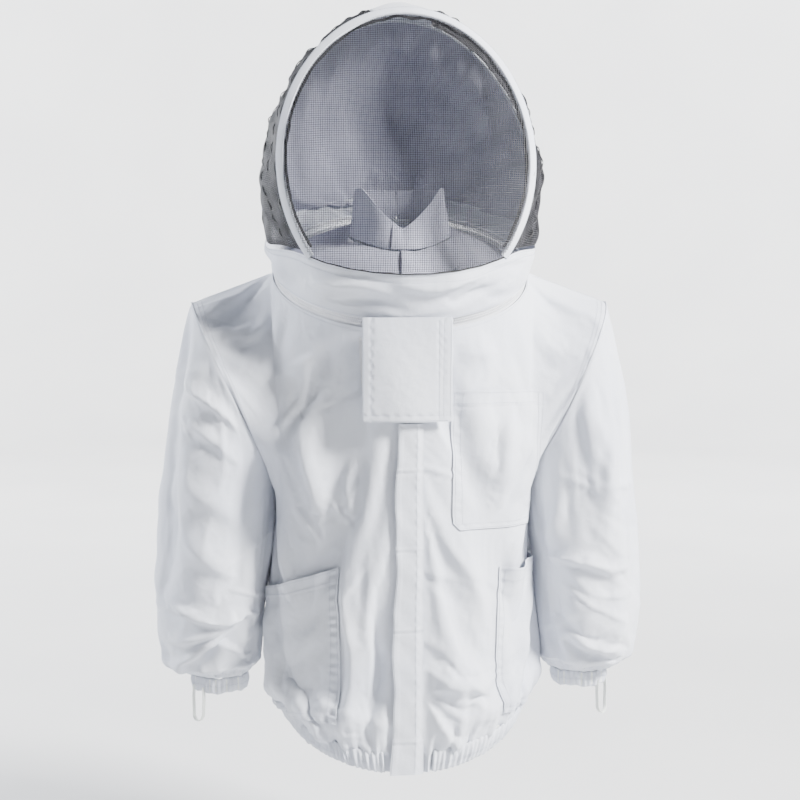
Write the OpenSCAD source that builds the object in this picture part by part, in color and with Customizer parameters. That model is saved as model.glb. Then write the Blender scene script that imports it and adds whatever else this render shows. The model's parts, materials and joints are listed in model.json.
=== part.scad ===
// Beekeeping jacket with a zip-on fencing hood.
// Millimetres. +Z is up, the front faces -Y and the wearer's left is +X.
// The origin is the centre of the circle that the neck zip follows.

/* [Neck zip] */
// Radius of the circle that the neck zip follows
ring_r = 175; // [172:1:178]
// Tilt of that circle, front low, in degrees
ring_tilt = 24; // [22:1:25]

/* [Body] */
// Half of the width from shoulder point to shoulder point
shoulder_x = 290; // [280:1:300]
// Height of the shoulder point
shoulder_z = -48; // [-55:1:-40]
// Half of the width from armpit to armpit
armpit_x = 172; // [168:1:174]
// Height of the armpit
armpit_z = -290; // [-300:1:-280]
// Half depth of the armhole, front to back
armhole_y = 105; // [95:1:110]
// Half width of the body where it is fullest
side_x = 190; // [184:1:191]
// Half width of the hem
hem_x = 162; // [156:1:164]
// Height of the hem at the front, at the sides and at the back
hem_z = [-670, -620, -645]; // [-720:1:-560]
// Distance of the hem behind the centre
hem_back_y = 148; // [140:1:155]

/* [Sleeves] */
// Radius inside the elastic cuff
cuff_r = 34; // [30:1:36]
// Height of the cuff band
cuff_h = 22; // [18:1:26]
// Hang of the thumb loop below the cuff
thumb_loop_drop = 42; // [30:1:50]

/* [Hood] */
// Height of the top of the front hoop
front_hoop_top = 338; // [330:1:342]
// Half width of the front hoop
front_hoop_x = 165; // [160:1:170]
// Distance of the front hoop's top in front of the centre
front_hoop_y = -95; // [-105:1:-85]
// Height of the top of the rear hoop
rear_hoop_top = 350; // [344:1:354]
// Half width of the rear hoop
rear_hoop_x = 190; // [188:1:196]
// Distance of the rear hoop's top behind the centre
rear_hoop_y = 75; // [65:1:85]
// Height of the hood's collar band at the front and round the sides
band_h = [72, 36]; // [30:1:80]

/* [Pockets] */
// Inner edges of the chest pocket and of the hip pockets, right and left
pocket_x = [60, 92, 132]; // [55:1:130]
// Bottom and top of the chest pocket
chest_pocket_z = [-344, -156]; // [-350:1:-150]
// Bottom of the hip pockets, and their tops at the inner edge, right and left
hip_pocket_z = [-600, -392, -398]; // [-605:1:-380]
// Fullness of a pocket, how far its front stands off the jacket
pocket_depth = 12; // [9:1:13]

/* [Closures] */
// Throat flap: left edge, right edge, bottom and top
throat_flap_box = [-60, 56, -197, -61]; // [-200:1:60]
// Storm flap: free edge and sewn edge
storm_flap_x = [-17, 20]; // [-18:1:24]
// Width of the cloth strip that makes the loops
loop_w = 9; // [6:1:10]

/* [Hidden] */

cotton = "white";
cotton_shade = "gainsboro";
net = "dimgray";
plastic = "whitesmoke";
metal = "silver";

cloth_t = 1.6;          // thickness of one layer of cloth
seam_gap = 0.6;         // room left between two pieces that are sewn together
fit_gap = 0.4;          // room round a slider's moving faces
edge_x = 7;             // half of the gap between the front edges, where the main zip lies
step = 0.002;           // parameter step for surface normals
$fn = 72;

// ---- Points and curves ----

function lerp(a, b, t) = a + (b - a) * t;
function clamped(t) = min(1, max(0, t));
function eased(t) = let (c = clamped(t)) c * c * (3 - 2 * c);
function bezier(a, b, c, t) = (1 - t) * (1 - t) * a + 2 * t * (1 - t) * b + t * t * c;
function mirrored(p) = [-p[0], p[1], p[2]];

// A point near the neck circle: angle from centre front towards +X, radius, height along its axis
function on_ring(a, r, h) = [
    r * sin(a),
    -r * cos(a) * cos(ring_tilt) - h * sin(ring_tilt),
    -r * cos(a) * sin(ring_tilt) + h * cos(ring_tilt)
];

// A patch between four curves that meet at its corners
function coons(top, bottom, left, right, u, v) =
    lerp(top(u), bottom(u), v) + lerp(left(v), right(v), u)
    - lerp(lerp(top(0), top(1), u), lerp(bottom(0), bottom(1), u), v);

function normal(f, u, v) =
    let (n = cross(f(u + step, v) - f(u - step, v), f(u, v + step) - f(u, v - step)))
    n / norm(n);

// ---- Skins ----

function skin_faces(nu, nv, closed) =
    let (
        cols = closed ? nu : nu + 1,
        n = cols * (nv + 1),
        at = function (i, j) j * cols + i % cols
    )
    concat(
        [for (j = [0:nv - 1], i = [0:nu - 1]) each [
            [at(i, j), at(i, j + 1), at(i + 1, j + 1)],
            [at(i, j), at(i + 1, j + 1), at(i + 1, j)],
            [n + at(i, j), n + at(i + 1, j + 1), n + at(i, j + 1)],
            [n + at(i, j), n + at(i + 1, j), n + at(i + 1, j + 1)]
        ]],
        [for (i = [0:nu - 1]) each [
            [at(i, 0), at(i + 1, 0), n + at(i + 1, 0)],
            [at(i, 0), n + at(i + 1, 0), n + at(i, 0)],
            [at(i, nv), n + at(i + 1, nv), at(i + 1, nv)],
            [at(i, nv), n + at(i, nv), n + at(i + 1, nv)]
        ]],
        closed ? [] : [for (j = [0:nv - 1]) each [
            [at(0, j), n + at(0, j + 1), at(0, j + 1)],
            [at(0, j), n + at(0, j), n + at(0, j + 1)],
            [at(nu, j), at(nu, j + 1), n + at(nu, j + 1)],
            [at(nu, j), n + at(nu, j + 1), n + at(nu, j)]
        ]]
    );

function reversed(list) = [for (i = [len(list) - 1:-1:0]) list[i]];

// A skin of thickness t on the surface f over the ranges u and v. side says which way the
// surface faces, and out(u, v) is how far the skin's outer face stands off it.
module skin(f, u, v, nu, nv, t = cloth_t, side = 1, out = function (a, b) 0, closed = false) {
    cols = closed ? nu - 1 : nu;
    places = [for (j = [0:nv], i = [0:cols])
        [lerp(u[0], u[1], i / nu), lerp(v[0], v[1], j / nv)]];
    normals = [for (p = places) side * normal(f, p[0], p[1])];
    outer = [for (i = [0:len(places) - 1])
        f(places[i][0], places[i][1]) + normals[i] * out(places[i][0], places[i][1])];
    inner = [for (i = [0:len(places) - 1]) outer[i] - normals[i] * t];
    faces = skin_faces(nu, nv, closed);
    polyhedron(concat(outer, inner), side > 0 ? faces : [for (f = faces) reversed(f)]);
}

// ---- Body surfaces ----

cloth_r = ring_r + 3;   // radius of the cloth edges that meet the neck zip
cloth_h = 6.5;          // their distance above and below the zip's centre line
front_y = on_ring(0, cloth_r, -cloth_h)[1];
armhole_centre = [(shoulder_x + armpit_x) / 2, 0, (shoulder_z + armpit_z) / 2];
armhole_half = [(shoulder_x - armpit_x) / 2, 0, (shoulder_z - armpit_z) / 2];
armhole_tilt = atan2(armhole_half[2], armhole_half[0]);
ring_share = 0.7;       // share of a panel's top edge that lies on the neck circle
armhole_share = 0.44;   // share of a panel's outer edge that lies on the armhole

// The armhole seam of the wearer's left side, from the shoulder point (0) to the armpit (180)
function armhole(a, way) =
    armhole_centre + armhole_half * cos(a) + [0, way * armhole_y * sin(a), 0];

function side_seam(t) = [
    lerp(armpit_x, hem_x, t)
        + (side_x - (armpit_x + hem_x) / 2) * pow(sin(180 * clamped(t) * clamped(t)), 0.8),
    0,
    lerp(armpit_z, hem_z[1], t)
];

function outer_edge(v, way) = v < armhole_share
    ? armhole(180 * v / armhole_share, way)
    : side_seam((v - armhole_share) / (1 - armhole_share));

function shoulder_seam(t) = lerp(on_ring(90, cloth_r, -cloth_h), [shoulder_x, 0, shoulder_z], t);

// A quarter turn that is fuller than an ellipse, so that the chest and the back lie flatter
function full_turn(a) = let (n = pow(pow(abs(sin(a)), 2.5) + pow(abs(cos(a)), 2.5), 0.4))
    [sin(a) / n, cos(a) / n];

// Half of a level cut through the body, from the centre (u = 0) to the outer edge (u = 1)
function half_cut(centre, outer, u) = let (p = full_turn(90 * u)) [
    lerp(centre[0], outer[0], p[0]),
    lerp(outer[1], centre[1], p[1]),
    lerp(outer[2], centre[2], pow(cos(90 * u), 2))
];

// The body follows its cuts, and near the top it turns into the neck line and shoulder seam
neck_reach = 0.42;
function body(centre, outer, top, u, v) =
    half_cut(centre(v), outer(v), u)
    + (top(u) - half_cut(centre(0), outer(0), u)) * (1 - eased(v / neck_reach));

// Left front: u runs from the centre front to the side, v from the neck to the hem
front_a = asin(edge_x / cloth_r);
function front_top(u) = u < ring_share
    ? on_ring(lerp(front_a, 90, u / ring_share), cloth_r, -cloth_h)
    : shoulder_seam((u - ring_share) / (1 - ring_share));
function front_edge(v) = [edge_x, front_top(0)[1], lerp(front_top(0)[2], hem_z[0], v)];
front = function (u, v) body(function (v) front_edge(v), function (v) outer_edge(v, -1),
    function (u) front_top(u), u, v);

// Left half of the back: u runs from the centre back to the side
function back_top(u) = u < ring_share
    ? on_ring(lerp(180, 90, u / ring_share), cloth_r, -cloth_h)
    : shoulder_seam((u - ring_share) / (1 - ring_share));
function back_edge(v) = lerp(back_top(0), [0, hem_back_y, hem_z[2]], v)
    + [0, 14 * sin(180 * v), 0];
back_half = function (u, v) body(function (v) back_edge(v), function (v) outer_edge(v, 1),
    function (u) back_top(u), u, v);
back = function (u, v) u < 0 ? mirrored(back_half(-u, v)) : back_half(u, v);

gap_u = 0.003;          // seam_gap as a share of a panel's width

module front_panel() {
    color(cotton) skin(front, [0, 1 - gap_u], [0.001, 1], 14, 16, side = -1);
}

module back_panel() {
    color(cotton) skin(back, [-1 + gap_u, 1 - gap_u], [0.001, 1], 28, 16);
}

// ---- Hem, inside the panels ----

hem_in = -cloth_t - 3;      // the elastic lies inside the panels

module hem_strip(out, t, v) {
    skin(front, [0.1, 0.99], v, 10, 1, t = t, side = -1, out = function (u, v) out);
    mirror([1, 0, 0])
        skin(front, [0.1, 0.99], v, 10, 1, t = t, side = -1, out = function (u, v) out);
    skin(back, [-0.99, 0.99], v, 20, 1, t = t, out = function (u, v) out);
}

module hem_elastic() {
    color(cotton_shade) hem_strip(hem_in, 1.2, [0.955, 0.985]);
}

module hem_facing() {
    color(cotton) hem_strip(hem_in - 1.8, 1, [0.945, 0.998]);
}

// ---- Pockets ----

pocket_t = 1.2;

// The place (u, v) on the front whose point has a given x and z, found by stepping towards it
function find_place(x, z, at = [0.4, 0.5], turns = 16) =
    turns == 0 ? at :
    let (miss = front(at[0], at[1]) - [x, 0, z])
    find_place(x, z, at + [-miss[0] / 260, miss[2] / 620], turns - 1);

// The v at which the front has a given z, along a line of constant u
function find_v(u, z, v = 0.5, turns = 16) =
    turns == 0 ? v : find_v(u, z, v + (front(u, v)[2] - z) / 620, turns - 1);

// A patch pocket on the left front, open at the top and sewn down on the other three sides.
// x is its inner edge, outer_u is the place of its outer edge at the top and at the bottom, and
// slant is how much lower the outer end of its mouth is than the inner end.
module pocket(x, outer_u, z, slant) {
    across = 12;
    down = 12;
    surface = function (a, b)
        let (
            height = lerp(z[1] - slant * a, z[0], b),
            u = lerp(find_place(x, height)[0], lerp(outer_u[0], outer_u[1], b), a)
        )
        front(u, find_v(u, height));
    rise = function (a, b) pocket_t + seam_gap + pocket_depth * eased(min(a, 1 - a, 1 - b) * 5);
    color(cotton) skin(surface, [0, 1], [0, 1], across, down, t = pocket_t, side = -1, out = rise);
}

module chest_pocket() { pocket(pocket_x[0], [0.78, 0.9], chest_pocket_z, 6); }
module hip_pocket(x, top, slant) { pocket(x, [0.95, 0.95], [hip_pocket_z[0], top], slant); }

// ---- Inside the neck circle ----

collar_r = [70, 62];        // radius of the collar at its base and at its top
collar_y = 8;               // its centre lies behind the origin
collar_base_z = [33, 57];   // height of its base at the front and at the back
collar_top_z = [62, 112];   // height of its top edge at the front and at the sides

function collar_base(a) = [collar_r[0] * sin(a), collar_y - collar_r[0] * cos(a),
    lerp(collar_base_z[1], collar_base_z[0], (1 + cos(a)) / 2)];
function collar_top(a) = [collar_r[1] * sin(a), collar_y - collar_r[1] * cos(a),
    lerp(collar_top_z[0], collar_top_z[1], eased(a / 70))];
yoke = function (u, v) let (a = lerp(1, 179.6, u))
    lerp(on_ring(a, ring_r - 3, -9), collar_base(a), v) + [0, 0, 8 * sin(180 * v)];
collar = function (u, v) let (a = lerp(2, 179.6, u)) lerp(collar_base(a), collar_top(a), v);

module inner_yoke() {
    color(cotton_shade) skin(yoke, [0, 1], [0, 0.985], 14, 4, side = -1);
}

module collar_half() {
    color(cotton_shade) skin(collar, [0, 1], [0.03, 1], 14, 3, side = -1);
}

// ---- Loops of narrow tape ----

// A loop of tape seen along its width: a U that opens upwards from y = 0
module loop_outline(r, drop) {
    translate([0, r - drop]) intersection() {
        circle(r);
        translate([-r, -r]) square([2 * r, r]);
    }
    translate([-r, r - drop]) square([2 * r, drop - r]);
}

module tape_loop(inner_w, drop, t, w) {
    linear_extrude(w) difference() {
        loop_outline(inner_w / 2 + t, drop);
        translate([0, 0.01]) loop_outline(inner_w / 2, drop - t + 0.01);
    }
}

hanger_gap = 34;        // inner width of the hanger loop
hanger_reach = 22;      // how far it stands off the collar

module hanger_loop() {
    end_y = collar_y + collar_r[0] - 4.6;
    color(cotton) translate([0, end_y, collar_base_z[1] + 3])
        tape_loop(hanger_gap, hanger_reach, 1.5, loop_w);
}

// ---- Main zip, down the centre front ----

chain_y = front_y + 3.2;            // middle of the teeth
chain_t = 3;                        // their thickness
bead_x = [1.2, 3.8];                // one row of teeth, from and to
tape_x = 17;                        // outer edge of the tape
tape_t = 0.8;
main_z = [-652, -86];               // the teeth, from the box to the top stops
slider_len = 14;
slider_half = 5;                    // half width of a slider's plates
plate_t = 1.1;
web_half = bead_x[0] - fit_gap;     // half thickness of the web between the two rows

module main_tape() {
    color(cotton) translate([bead_x[1], chain_y - tape_t / 2, main_z[0] - 12])
        cube([tape_x - bead_x[1], tape_t, main_z[1] - main_z[0] + 12]);
}

module main_teeth() {
    color(plastic) translate([bead_x[0], chain_y - chain_t / 2, main_z[0]])
        cube([bead_x[1] - bead_x[0], chain_t, main_z[1] - main_z[0] - 2.5]);
}

module main_top_stops() {
    color(plastic) for (way = [0, 1]) mirror([way, 0, 0])
        translate([bead_x[0], chain_y - chain_t / 2, main_z[1] - 2])
            cube([bead_x[1] - bead_x[0], chain_t, 2]);
}

// The retainer box at the bottom, on the wearer's left tape, with the pin's slot in it
module main_box() {
    color(plastic) translate([0, chain_y, main_z[0] - 6]) difference() {
        translate([-4.6, -2, -5]) cube([9.2, 4, 10]);
        translate([-3.8, -1.2, -4]) cube([3.2, 2.4, 10]);
        for (x = [-5, bead_x[1]]) translate([x, -0.6, -6]) cube([1.3, 1.2, 12]);
    }
}

module main_pin() {
    color(plastic) translate([-3.5, chain_y - 0.9, main_z[0] - 9.6]) cube([2.6, 1.8, 9.4]);
}

// A slider's section: two plates, the web between the rows, and the pull's bridge.
// In 2D, x runs across the zip and y outwards from the teeth's middle.
module slider_section() {
    for (way = [-1, 1]) translate([-slider_half, way > 0 ? chain_t / 2 + fit_gap
        : -chain_t / 2 - fit_gap - plate_t]) square([2 * slider_half, plate_t]);
    translate([-web_half, -chain_t / 2 - fit_gap - 0.1])
        square([2 * web_half, chain_t + 2 * fit_gap + 0.2]);
}

plate_out = chain_t / 2 + fit_gap + plate_t;    // outer face of the plate from the teeth's middle
bridge_t = 0.8;
pull_t = 0.9;
pull_gap = 0.25;

main_slider_z = main_z[1] - 5;      // top of the main slider when the zip is closed

module main_slider() {
    color(metal) {
        translate([0, chain_y, main_slider_z - slider_len]) mirror([0, 1, 0])
            linear_extrude(slider_len) slider_section();
        translate([0, chain_y - plate_out, main_slider_z - slider_len / 2]) {
            for (z = [-3.5, 2.3]) translate([-1, -pull_t - 2 * pull_gap - bridge_t, z])
                cube([2, pull_t + 2 * pull_gap + bridge_t + 0.2, 1.2]);
            translate([-1, -pull_t - 2 * pull_gap - bridge_t, -3.5]) cube([2, bridge_t, 7]);
        }
    }
}

// A pull tab in the XZ plane: the ring that goes round the bridge, then the tab
module pull_tab(length) {
    rotate([90, 0, 0]) linear_extrude(pull_t) difference() {
        union() {
            translate([-3.2, -length]) square([6.4, length]);
            circle(3.2);
            translate([0, -length]) circle(3.2);
        }
        translate([-1.6, -2.7]) square([3.2, 4.9]);
        translate([0, -length]) circle(1.3);
    }
}

module main_pull() {
    color(metal) translate([0, chain_y - plate_out - pull_gap,
        main_slider_z - slider_len / 2 - 1.2]) pull_tab(24);
}

// ---- Neck zip, round the neck circle ----

ring_gap = 2.6;         // half of the gap in the zip at the centre front, in degrees
neck_tape_w = 5;        // width of the tape that shows beside the teeth
slider_a = 5;           // where the neck sliders rest, in degrees from the centre front
slider_arc = 4.4;       // length of a neck slider
pull_arc = 7;           // length of its pull

// Turns a section drawn as radius and height round the neck circle, from one angle to another
module round_neck(from, to) {
    rotate([ring_tilt, 0, 0]) rotate([0, 0, from - 90])
        rotate_extrude(angle = to - from) children();
}

module neck_tape(way) {
    round_neck(ring_gap, 360 - ring_gap) translate([ring_r - tape_t / 2, way > 0
        ? bead_x[1] : -bead_x[1] - neck_tape_w]) square([tape_t, neck_tape_w]);
}

module neck_teeth(way) {
    round_neck(ring_gap, 360 - ring_gap) translate([ring_r - chain_t / 2, way > 0
        ? bead_x[0] : -bead_x[1]]) square([chain_t, bead_x[1] - bead_x[0]]);
}

// The neck sliders and pulls follow the curve, so that they clear the teeth all the way
module neck_slider() {
    bridge_r = ring_r + plate_out;
    room = pull_t + 2 * pull_gap;
    color(metal) {
        round_neck(slider_a - slider_arc / 2, slider_a + slider_arc / 2)
            translate([ring_r, 0]) rotate(-90) slider_section();
        difference() {
            round_neck(slider_a - 1.5, slider_a + 1.5)
                translate([bridge_r - 0.4, -1]) square([room + bridge_t + 0.4, 2]);
            round_neck(slider_a - 1.1, slider_a + 1.1)
                translate([bridge_r + 0.1, -1.5]) square([room - 0.1, 3]);
        }
    }
}

module neck_pull() {
    pull_r = ring_r + plate_out + pull_gap;
    color(metal) difference() {
        round_neck(slider_a - 0.9, slider_a + pull_arc)
            translate([pull_r, -3.2]) square([pull_t, 6.4]);
        round_neck(slider_a - 0.1, slider_a + 2)
            translate([pull_r - 0.1, -1.8]) square([pull_t + 0.2, 3.6]);
    }
}

// ---- Flaps over the zips ----

storm_y = front_y - 4.4;            // inner face of the storm flap
throat_y = front_y - 11;            // inner face of the throat flap at the centre front
throat_r = 300;                     // its curve round the chest
flap_t = 1.5;
patch_t = 1;
storm_z = [hem_z[0] + 2, throat_flap_box[2] - 3];

module placket_strip(z) {
    color(cotton) translate([storm_flap_x[0], storm_y - flap_t, z[0]])
        cube([storm_flap_x[1] - storm_flap_x[0], flap_t, z[1] - z[0]]);
}

module storm_flap() { placket_strip(storm_z); }
module placket_top() { placket_strip([storm_z[1] + 2.5, -82]); }

storm_patch_z = [-590, -450, -310];     // bottoms of the hook-and-loop patches
storm_patch = [10, 24];                 // their width and height

module storm_hook_patches() {
    color(plastic) for (z = storm_patch_z)
        translate([storm_flap_x[0] + 1, storm_y, z]) cube([7, patch_t, storm_patch[1]]);
}

module storm_loop_patches() {
    color(plastic) for (z = storm_patch_z)
        translate([storm_flap_x[0] + 0.5, front_y - patch_t - 0.2, z])
            cube([storm_patch[0] - 1, patch_t, storm_patch[1]]);
}

// Part of a cylinder round the chest, between two x and two z, its inner face at radius r
module chest_arc(x, z, r, t) {
    from = asin(x[0] / throat_r);
    to = asin(x[1] / throat_r);
    translate([0, throat_y + throat_r, z[0]]) rotate([0, 0, from - 90])
        rotate_extrude(angle = to - from) translate([r, 0]) square([t, z[1] - z[0]]);
}

module throat_flap() {
    color(cotton) chest_arc([throat_flap_box[0], throat_flap_box[1]],
        [throat_flap_box[2], throat_flap_box[3]], throat_r, flap_t);
}

module throat_hook_patch() {
    color(plastic) chest_arc([throat_flap_box[0] + 3, throat_flap_box[0] + 26],
        [throat_flap_box[2] + 6, throat_flap_box[3] - 36], throat_r - patch_t, patch_t);
}

module throat_loop_patch() {
    color(plastic) mirror([1, 0, 0])
        skin(front, [0.082, 0.15], [0.025, 0.17], 3, 6, t = patch_t, side = -1,
            out = function (u, v) patch_t + 0.3);
}

// ---- Sleeves (the left one; the right one is its mirror) ----

// Stations down the sleeve, from the armhole seam (0) to the cuff (1)
sleeve_x = [[0, armhole_centre[0]], [0.1, 244], [0.25, 257], [0.5, 268], [0.75, 270], [0.92, 264], [1, 256]];
sleeve_y = [[0, 0], [0.5, -4], [1, -12]];
sleeve_z = [[0, armhole_centre[2]], [0.25, -270], [0.5, -380], [0.75, -480], [0.92, -546], [1, -566]];
sleeve_a = [[0, norm(armhole_half)], [0.1, 116], [0.25, 100], [0.5, 81], [0.75, 73], [0.92, 66], [1, cuff_r + 5]];
sleeve_b = [[0, armhole_y], [0.25, 96], [0.5, 83], [0.75, 75], [0.92, 64], [1, cuff_r + 5]];
sleeve_lean = [[0, armhole_tilt], [0.25, 38], [0.5, 15], [0.75, 5], [1, 0]];

sleeve = function (u, v)
    let (
        a = lookup(v, sleeve_a) * cos(360 * u),
        b = lookup(v, sleeve_b) * sin(360 * u),
        lean = lookup(v, sleeve_lean)
    )
    [lookup(v, sleeve_x) + a * cos(lean), lookup(v, sleeve_y) + b, lookup(v, sleeve_z) + a * sin(lean)];

cuff_at = [lookup(1, sleeve_x), lookup(1, sleeve_y), lookup(1, sleeve_z) - 1 - cuff_h];

module sleeve_tube() {
    color(cotton) skin(sleeve, [0, 1], [0.022, 0.998], 28, 16, side = -1, closed = true);
}

module cuff() {
    color(cotton) translate(cuff_at) rotate_extrude() translate([cuff_r, 0]) difference() {
        square([5, cuff_h]);
        translate([1.2, 2]) square([2.6, cuff_h - 4]);
    }
}

module cuff_elastic() {
    color(cotton_shade) translate(cuff_at) rotate_extrude()
        translate([cuff_r + 1.5, 2.4]) square([2, cuff_h - 4.8]);
}

thumb_loop_gap = 20;    // inner width of a thumb loop
thumb_loop_a = 40;      // its place on the cuff, from the outer side towards the front

module thumb_loop() {
    color(cotton_shade) translate(cuff_at) rotate([0, 0, -thumb_loop_a])
        translate([cuff_r + 1, 0, 0]) rotate([90, 0, 90])
            tape_loop(thumb_loop_gap, thumb_loop_drop, 1.2, 4);
}

// ---- Hood ----

foot_a = 47;            // angle of the front hoop's feet
rear_foot_a = 98;       // angle of the rear hoop's feet
casing_half = [5.5, 2.6];   // half width and half thickness of a hoop's casing
rod_r = 1.5;

function band_top_h(a) = let (side = abs(a) > 180 ? 360 - abs(a) : abs(a))
    lerp(band_h[0], band_h[1], eased((side - 50) / 45));
function band_top_r(a) = let (side = abs(a) > 180 ? 360 - abs(a) : abs(a))
    ring_r + (side < 100 ? lerp(2, 12, eased((side - 40) / 50))
        : lerp(12, 3, eased((side - 100) / 60)));
function band_top(a, lift = 0) = on_ring(a, band_top_r(a), band_top_h(a) + lift);
band = function (u, v) let (a = 360 * u)
    lerp(on_ring(a, cloth_r, cloth_h), band_top(a), v);

module hood_band() {
    color(cotton) skin(band, [0, 1], [0, 1], 44, 3, closed = true);
}

// A hoop: part of an ellipse from foot to foot, leaning back from its feet to its top.
// a is the angle from the top, and the foot is where the hoop meets the band.
function hoop_foot_a(foot, half_x) = 180 - asin(foot[0] / half_x);
function hoop(a, foot, half_x, top_z, top_y) =
    let (
        rise = (top_z - foot[2]) / (1 - cos(hoop_foot_a(foot, half_x))),
        z = top_z - rise * (1 - cos(a))
    )
    [half_x * sin(a), lerp(foot[1], top_y, eased((z - foot[2]) / (top_z - foot[2]))), z];

foot_lift = casing_half[0] + 1;
front_foot = band_top(foot_a, foot_lift);
rear_foot = band_top(rear_foot_a, foot_lift);
front_end = hoop_foot_a(front_foot, front_hoop_x);
rear_end = hoop_foot_a(rear_foot, rear_hoop_x);
function front_hoop(a) = hoop(a, front_foot, front_hoop_x, front_hoop_top, front_hoop_y);
function rear_hoop(a) = hoop(a, rear_foot, rear_hoop_x, rear_hoop_top, rear_hoop_y);

// A tube round a hoop's curve. half is its half width across the hoop and its half thickness.
hoop_tube = function (curve, end, half)
    function (u, v)
        let (
            a = lerp(-end, end, v),
            p = curve(a),
            along = curve(a + 0.5) - curve(a - 0.5),
            out = [p[0], 0, p[2] - 120],
            across = cross(along, out) / norm(cross(along, out)),
            away = cross(across, along) / norm(along)
        )
        p + half[0] * cos(360 * u) * across + half[1] * sin(360 * u) * away;

module hoop_casing(curve, end) {
    color(cotton) skin(hoop_tube(function (a) curve(a), end, casing_half), [0, 1], [0, 1],
        12, 36, t = 0.8, closed = true);
}

// The springy rod inside the casing: rings of points along the curve, with flat ends
module hoop_rod(curve, end) {
    sides = 8;
    rings = 40;
    tube = hoop_tube(function (a) curve(a), end - 2, [rod_r, rod_r]);
    points = [for (j = [0:rings], i = [0:sides - 1]) tube(i / sides, j / rings)];
    color(metal) polyhedron(points, concat(
        [[for (i = [0:sides - 1]) i]],
        [for (j = [0:rings - 1], i = [0:sides - 1]) each let (k = (i + 1) % sides) [
            [j * sides + i, (j + 1) * sides + i, (j + 1) * sides + k],
            [j * sides + i, (j + 1) * sides + k, j * sides + k]
        ]],
        [[for (i = [sides - 1:-1:0]) rings * sides + i]]
    ));
}

crown_a = 15;           // the crown panel spans this angle on each side of the top
crown_out = 14;         // how far the crown bulges
veil_out = 40;          // how far the front veil bulges
back_out = 78;          // how far the hood's back bulges

veil = function (u, v)
    let (
        top = front_hoop(lerp(-front_end, front_end, u)),
        low = band_top(lerp(-foot_a, foot_a, u), 1),
        bulge = [0, -2 * veil_out * pow(sin(180 * clamped(u)), 1.2), 0]
    )
    bezier(top, (top + low) / 2 + bulge, low, v);

veil_side = function (u, v) coons(
    function (t) lerp(front_hoop(crown_a), rear_hoop(crown_a), t) + [0, 0, crown_out * sin(180 * t)],
    function (t) band_top(lerp(foot_a, rear_foot_a, t), 1),
    function (t) front_hoop(lerp(crown_a, front_end, t)),
    function (t) rear_hoop(lerp(crown_a, rear_end, t)), u, v);

crown = function (u, v)
    let (a = lerp(-crown_a, crown_a, v))
    lerp(front_hoop(a), rear_hoop(a), u) + [0, 0, crown_out * sin(180 * u)];

hood_back = function (u, v)
    let (
        top = rear_hoop(lerp(-rear_end, rear_end, u)),
        low = band_top(-rear_foot_a - (360 - 2 * rear_foot_a) * u, 1),
        bulge = [0, 2 * back_out * pow(sin(180 * clamped(u)), 0.9), 10 * sin(180 * u)]
    )
    bezier(top, (top + low) / 2 + bulge, low, v);

module veil_front() {
    color(net) skin(veil, [0.09, 0.91], [0.045, 0.995], 18, 14, t = 1);
}

module veil_side_panel() {
    color(net) skin(veil_side, [0.05, 0.95], [0.015, 0.97], 6, 16, t = 1, side = -1);
}

module crown_panel() {
    color(cotton) skin(crown, [0.05, 0.95], [0.01, 0.99], 6, 8, t = cloth_t);
}

module hood_back_panel() {
    color(cotton) skin(hood_back, [0.06, 0.94], [0.05, 0.99], 22, 14, side = -1);
}

module right() { mirror([1, 0, 0]) children(); }

// ---- Nodes ----

right() front_panel();  // front_panel_right
front_panel();  // front_panel_left
back_panel();
right() inner_yoke();  // inner_yoke_right
inner_yoke();  // inner_yoke_left
right() collar_half();  // collar_right
collar_half();  // collar_left
hanger_loop();
placket_top();
right() main_tape();  // main_tape_right
main_tape();  // main_tape_left
right() main_teeth();  // main_teeth_right
main_teeth();  // main_teeth_left
main_top_stops();
main_box();
main_pin();
color(cotton) neck_tape(-1);  // neck_tape_jacket
color(plastic) neck_teeth(-1);  // neck_teeth_jacket
chest_pocket();
right() hip_pocket(pocket_x[1], hip_pocket_z[1], 56);  // hip_pocket_right
hip_pocket(pocket_x[2], hip_pocket_z[2], 0);  // hip_pocket_left
hem_facing();
hem_elastic();
throat_loop_patch();
storm_loop_patches();
right() sleeve_tube();  // sleeve_right
right() cuff();  // cuff_right
right() cuff_elastic();  // cuff_elastic_right
right() thumb_loop();  // thumb_loop_right
sleeve_tube();  // sleeve_left
cuff();  // cuff_left
cuff_elastic();  // cuff_elastic_left
thumb_loop();  // thumb_loop_left
throat_flap();
throat_hook_patch();
storm_flap();
storm_hook_patches();
main_slider();
main_pull();
right() neck_slider();  // neck_slider_right
right() neck_pull();  // neck_pull_right
neck_slider();  // neck_slider_left
neck_pull();  // neck_pull_left
color(cotton) neck_tape(1);  // neck_tape_hood
color(plastic) neck_teeth(1);  // neck_teeth_hood
hood_band();
hoop_casing(function (a) front_hoop(a), front_end);  // front_hoop_casing
hoop_rod(function (a) front_hoop(a), front_end);  // front_hoop_rod
hoop_casing(function (a) rear_hoop(a), rear_end);  // rear_hoop_casing
hoop_rod(function (a) rear_hoop(a), rear_end);  // rear_hoop_rod
veil_front();
right() veil_side_panel();  // veil_side_right
veil_side_panel();  // veil_side_left
crown_panel();
hood_back_panel();
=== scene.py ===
import json
import math

import bpy
import numpy as np
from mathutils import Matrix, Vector
from mathutils.bvhtree import BVHTree


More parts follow.
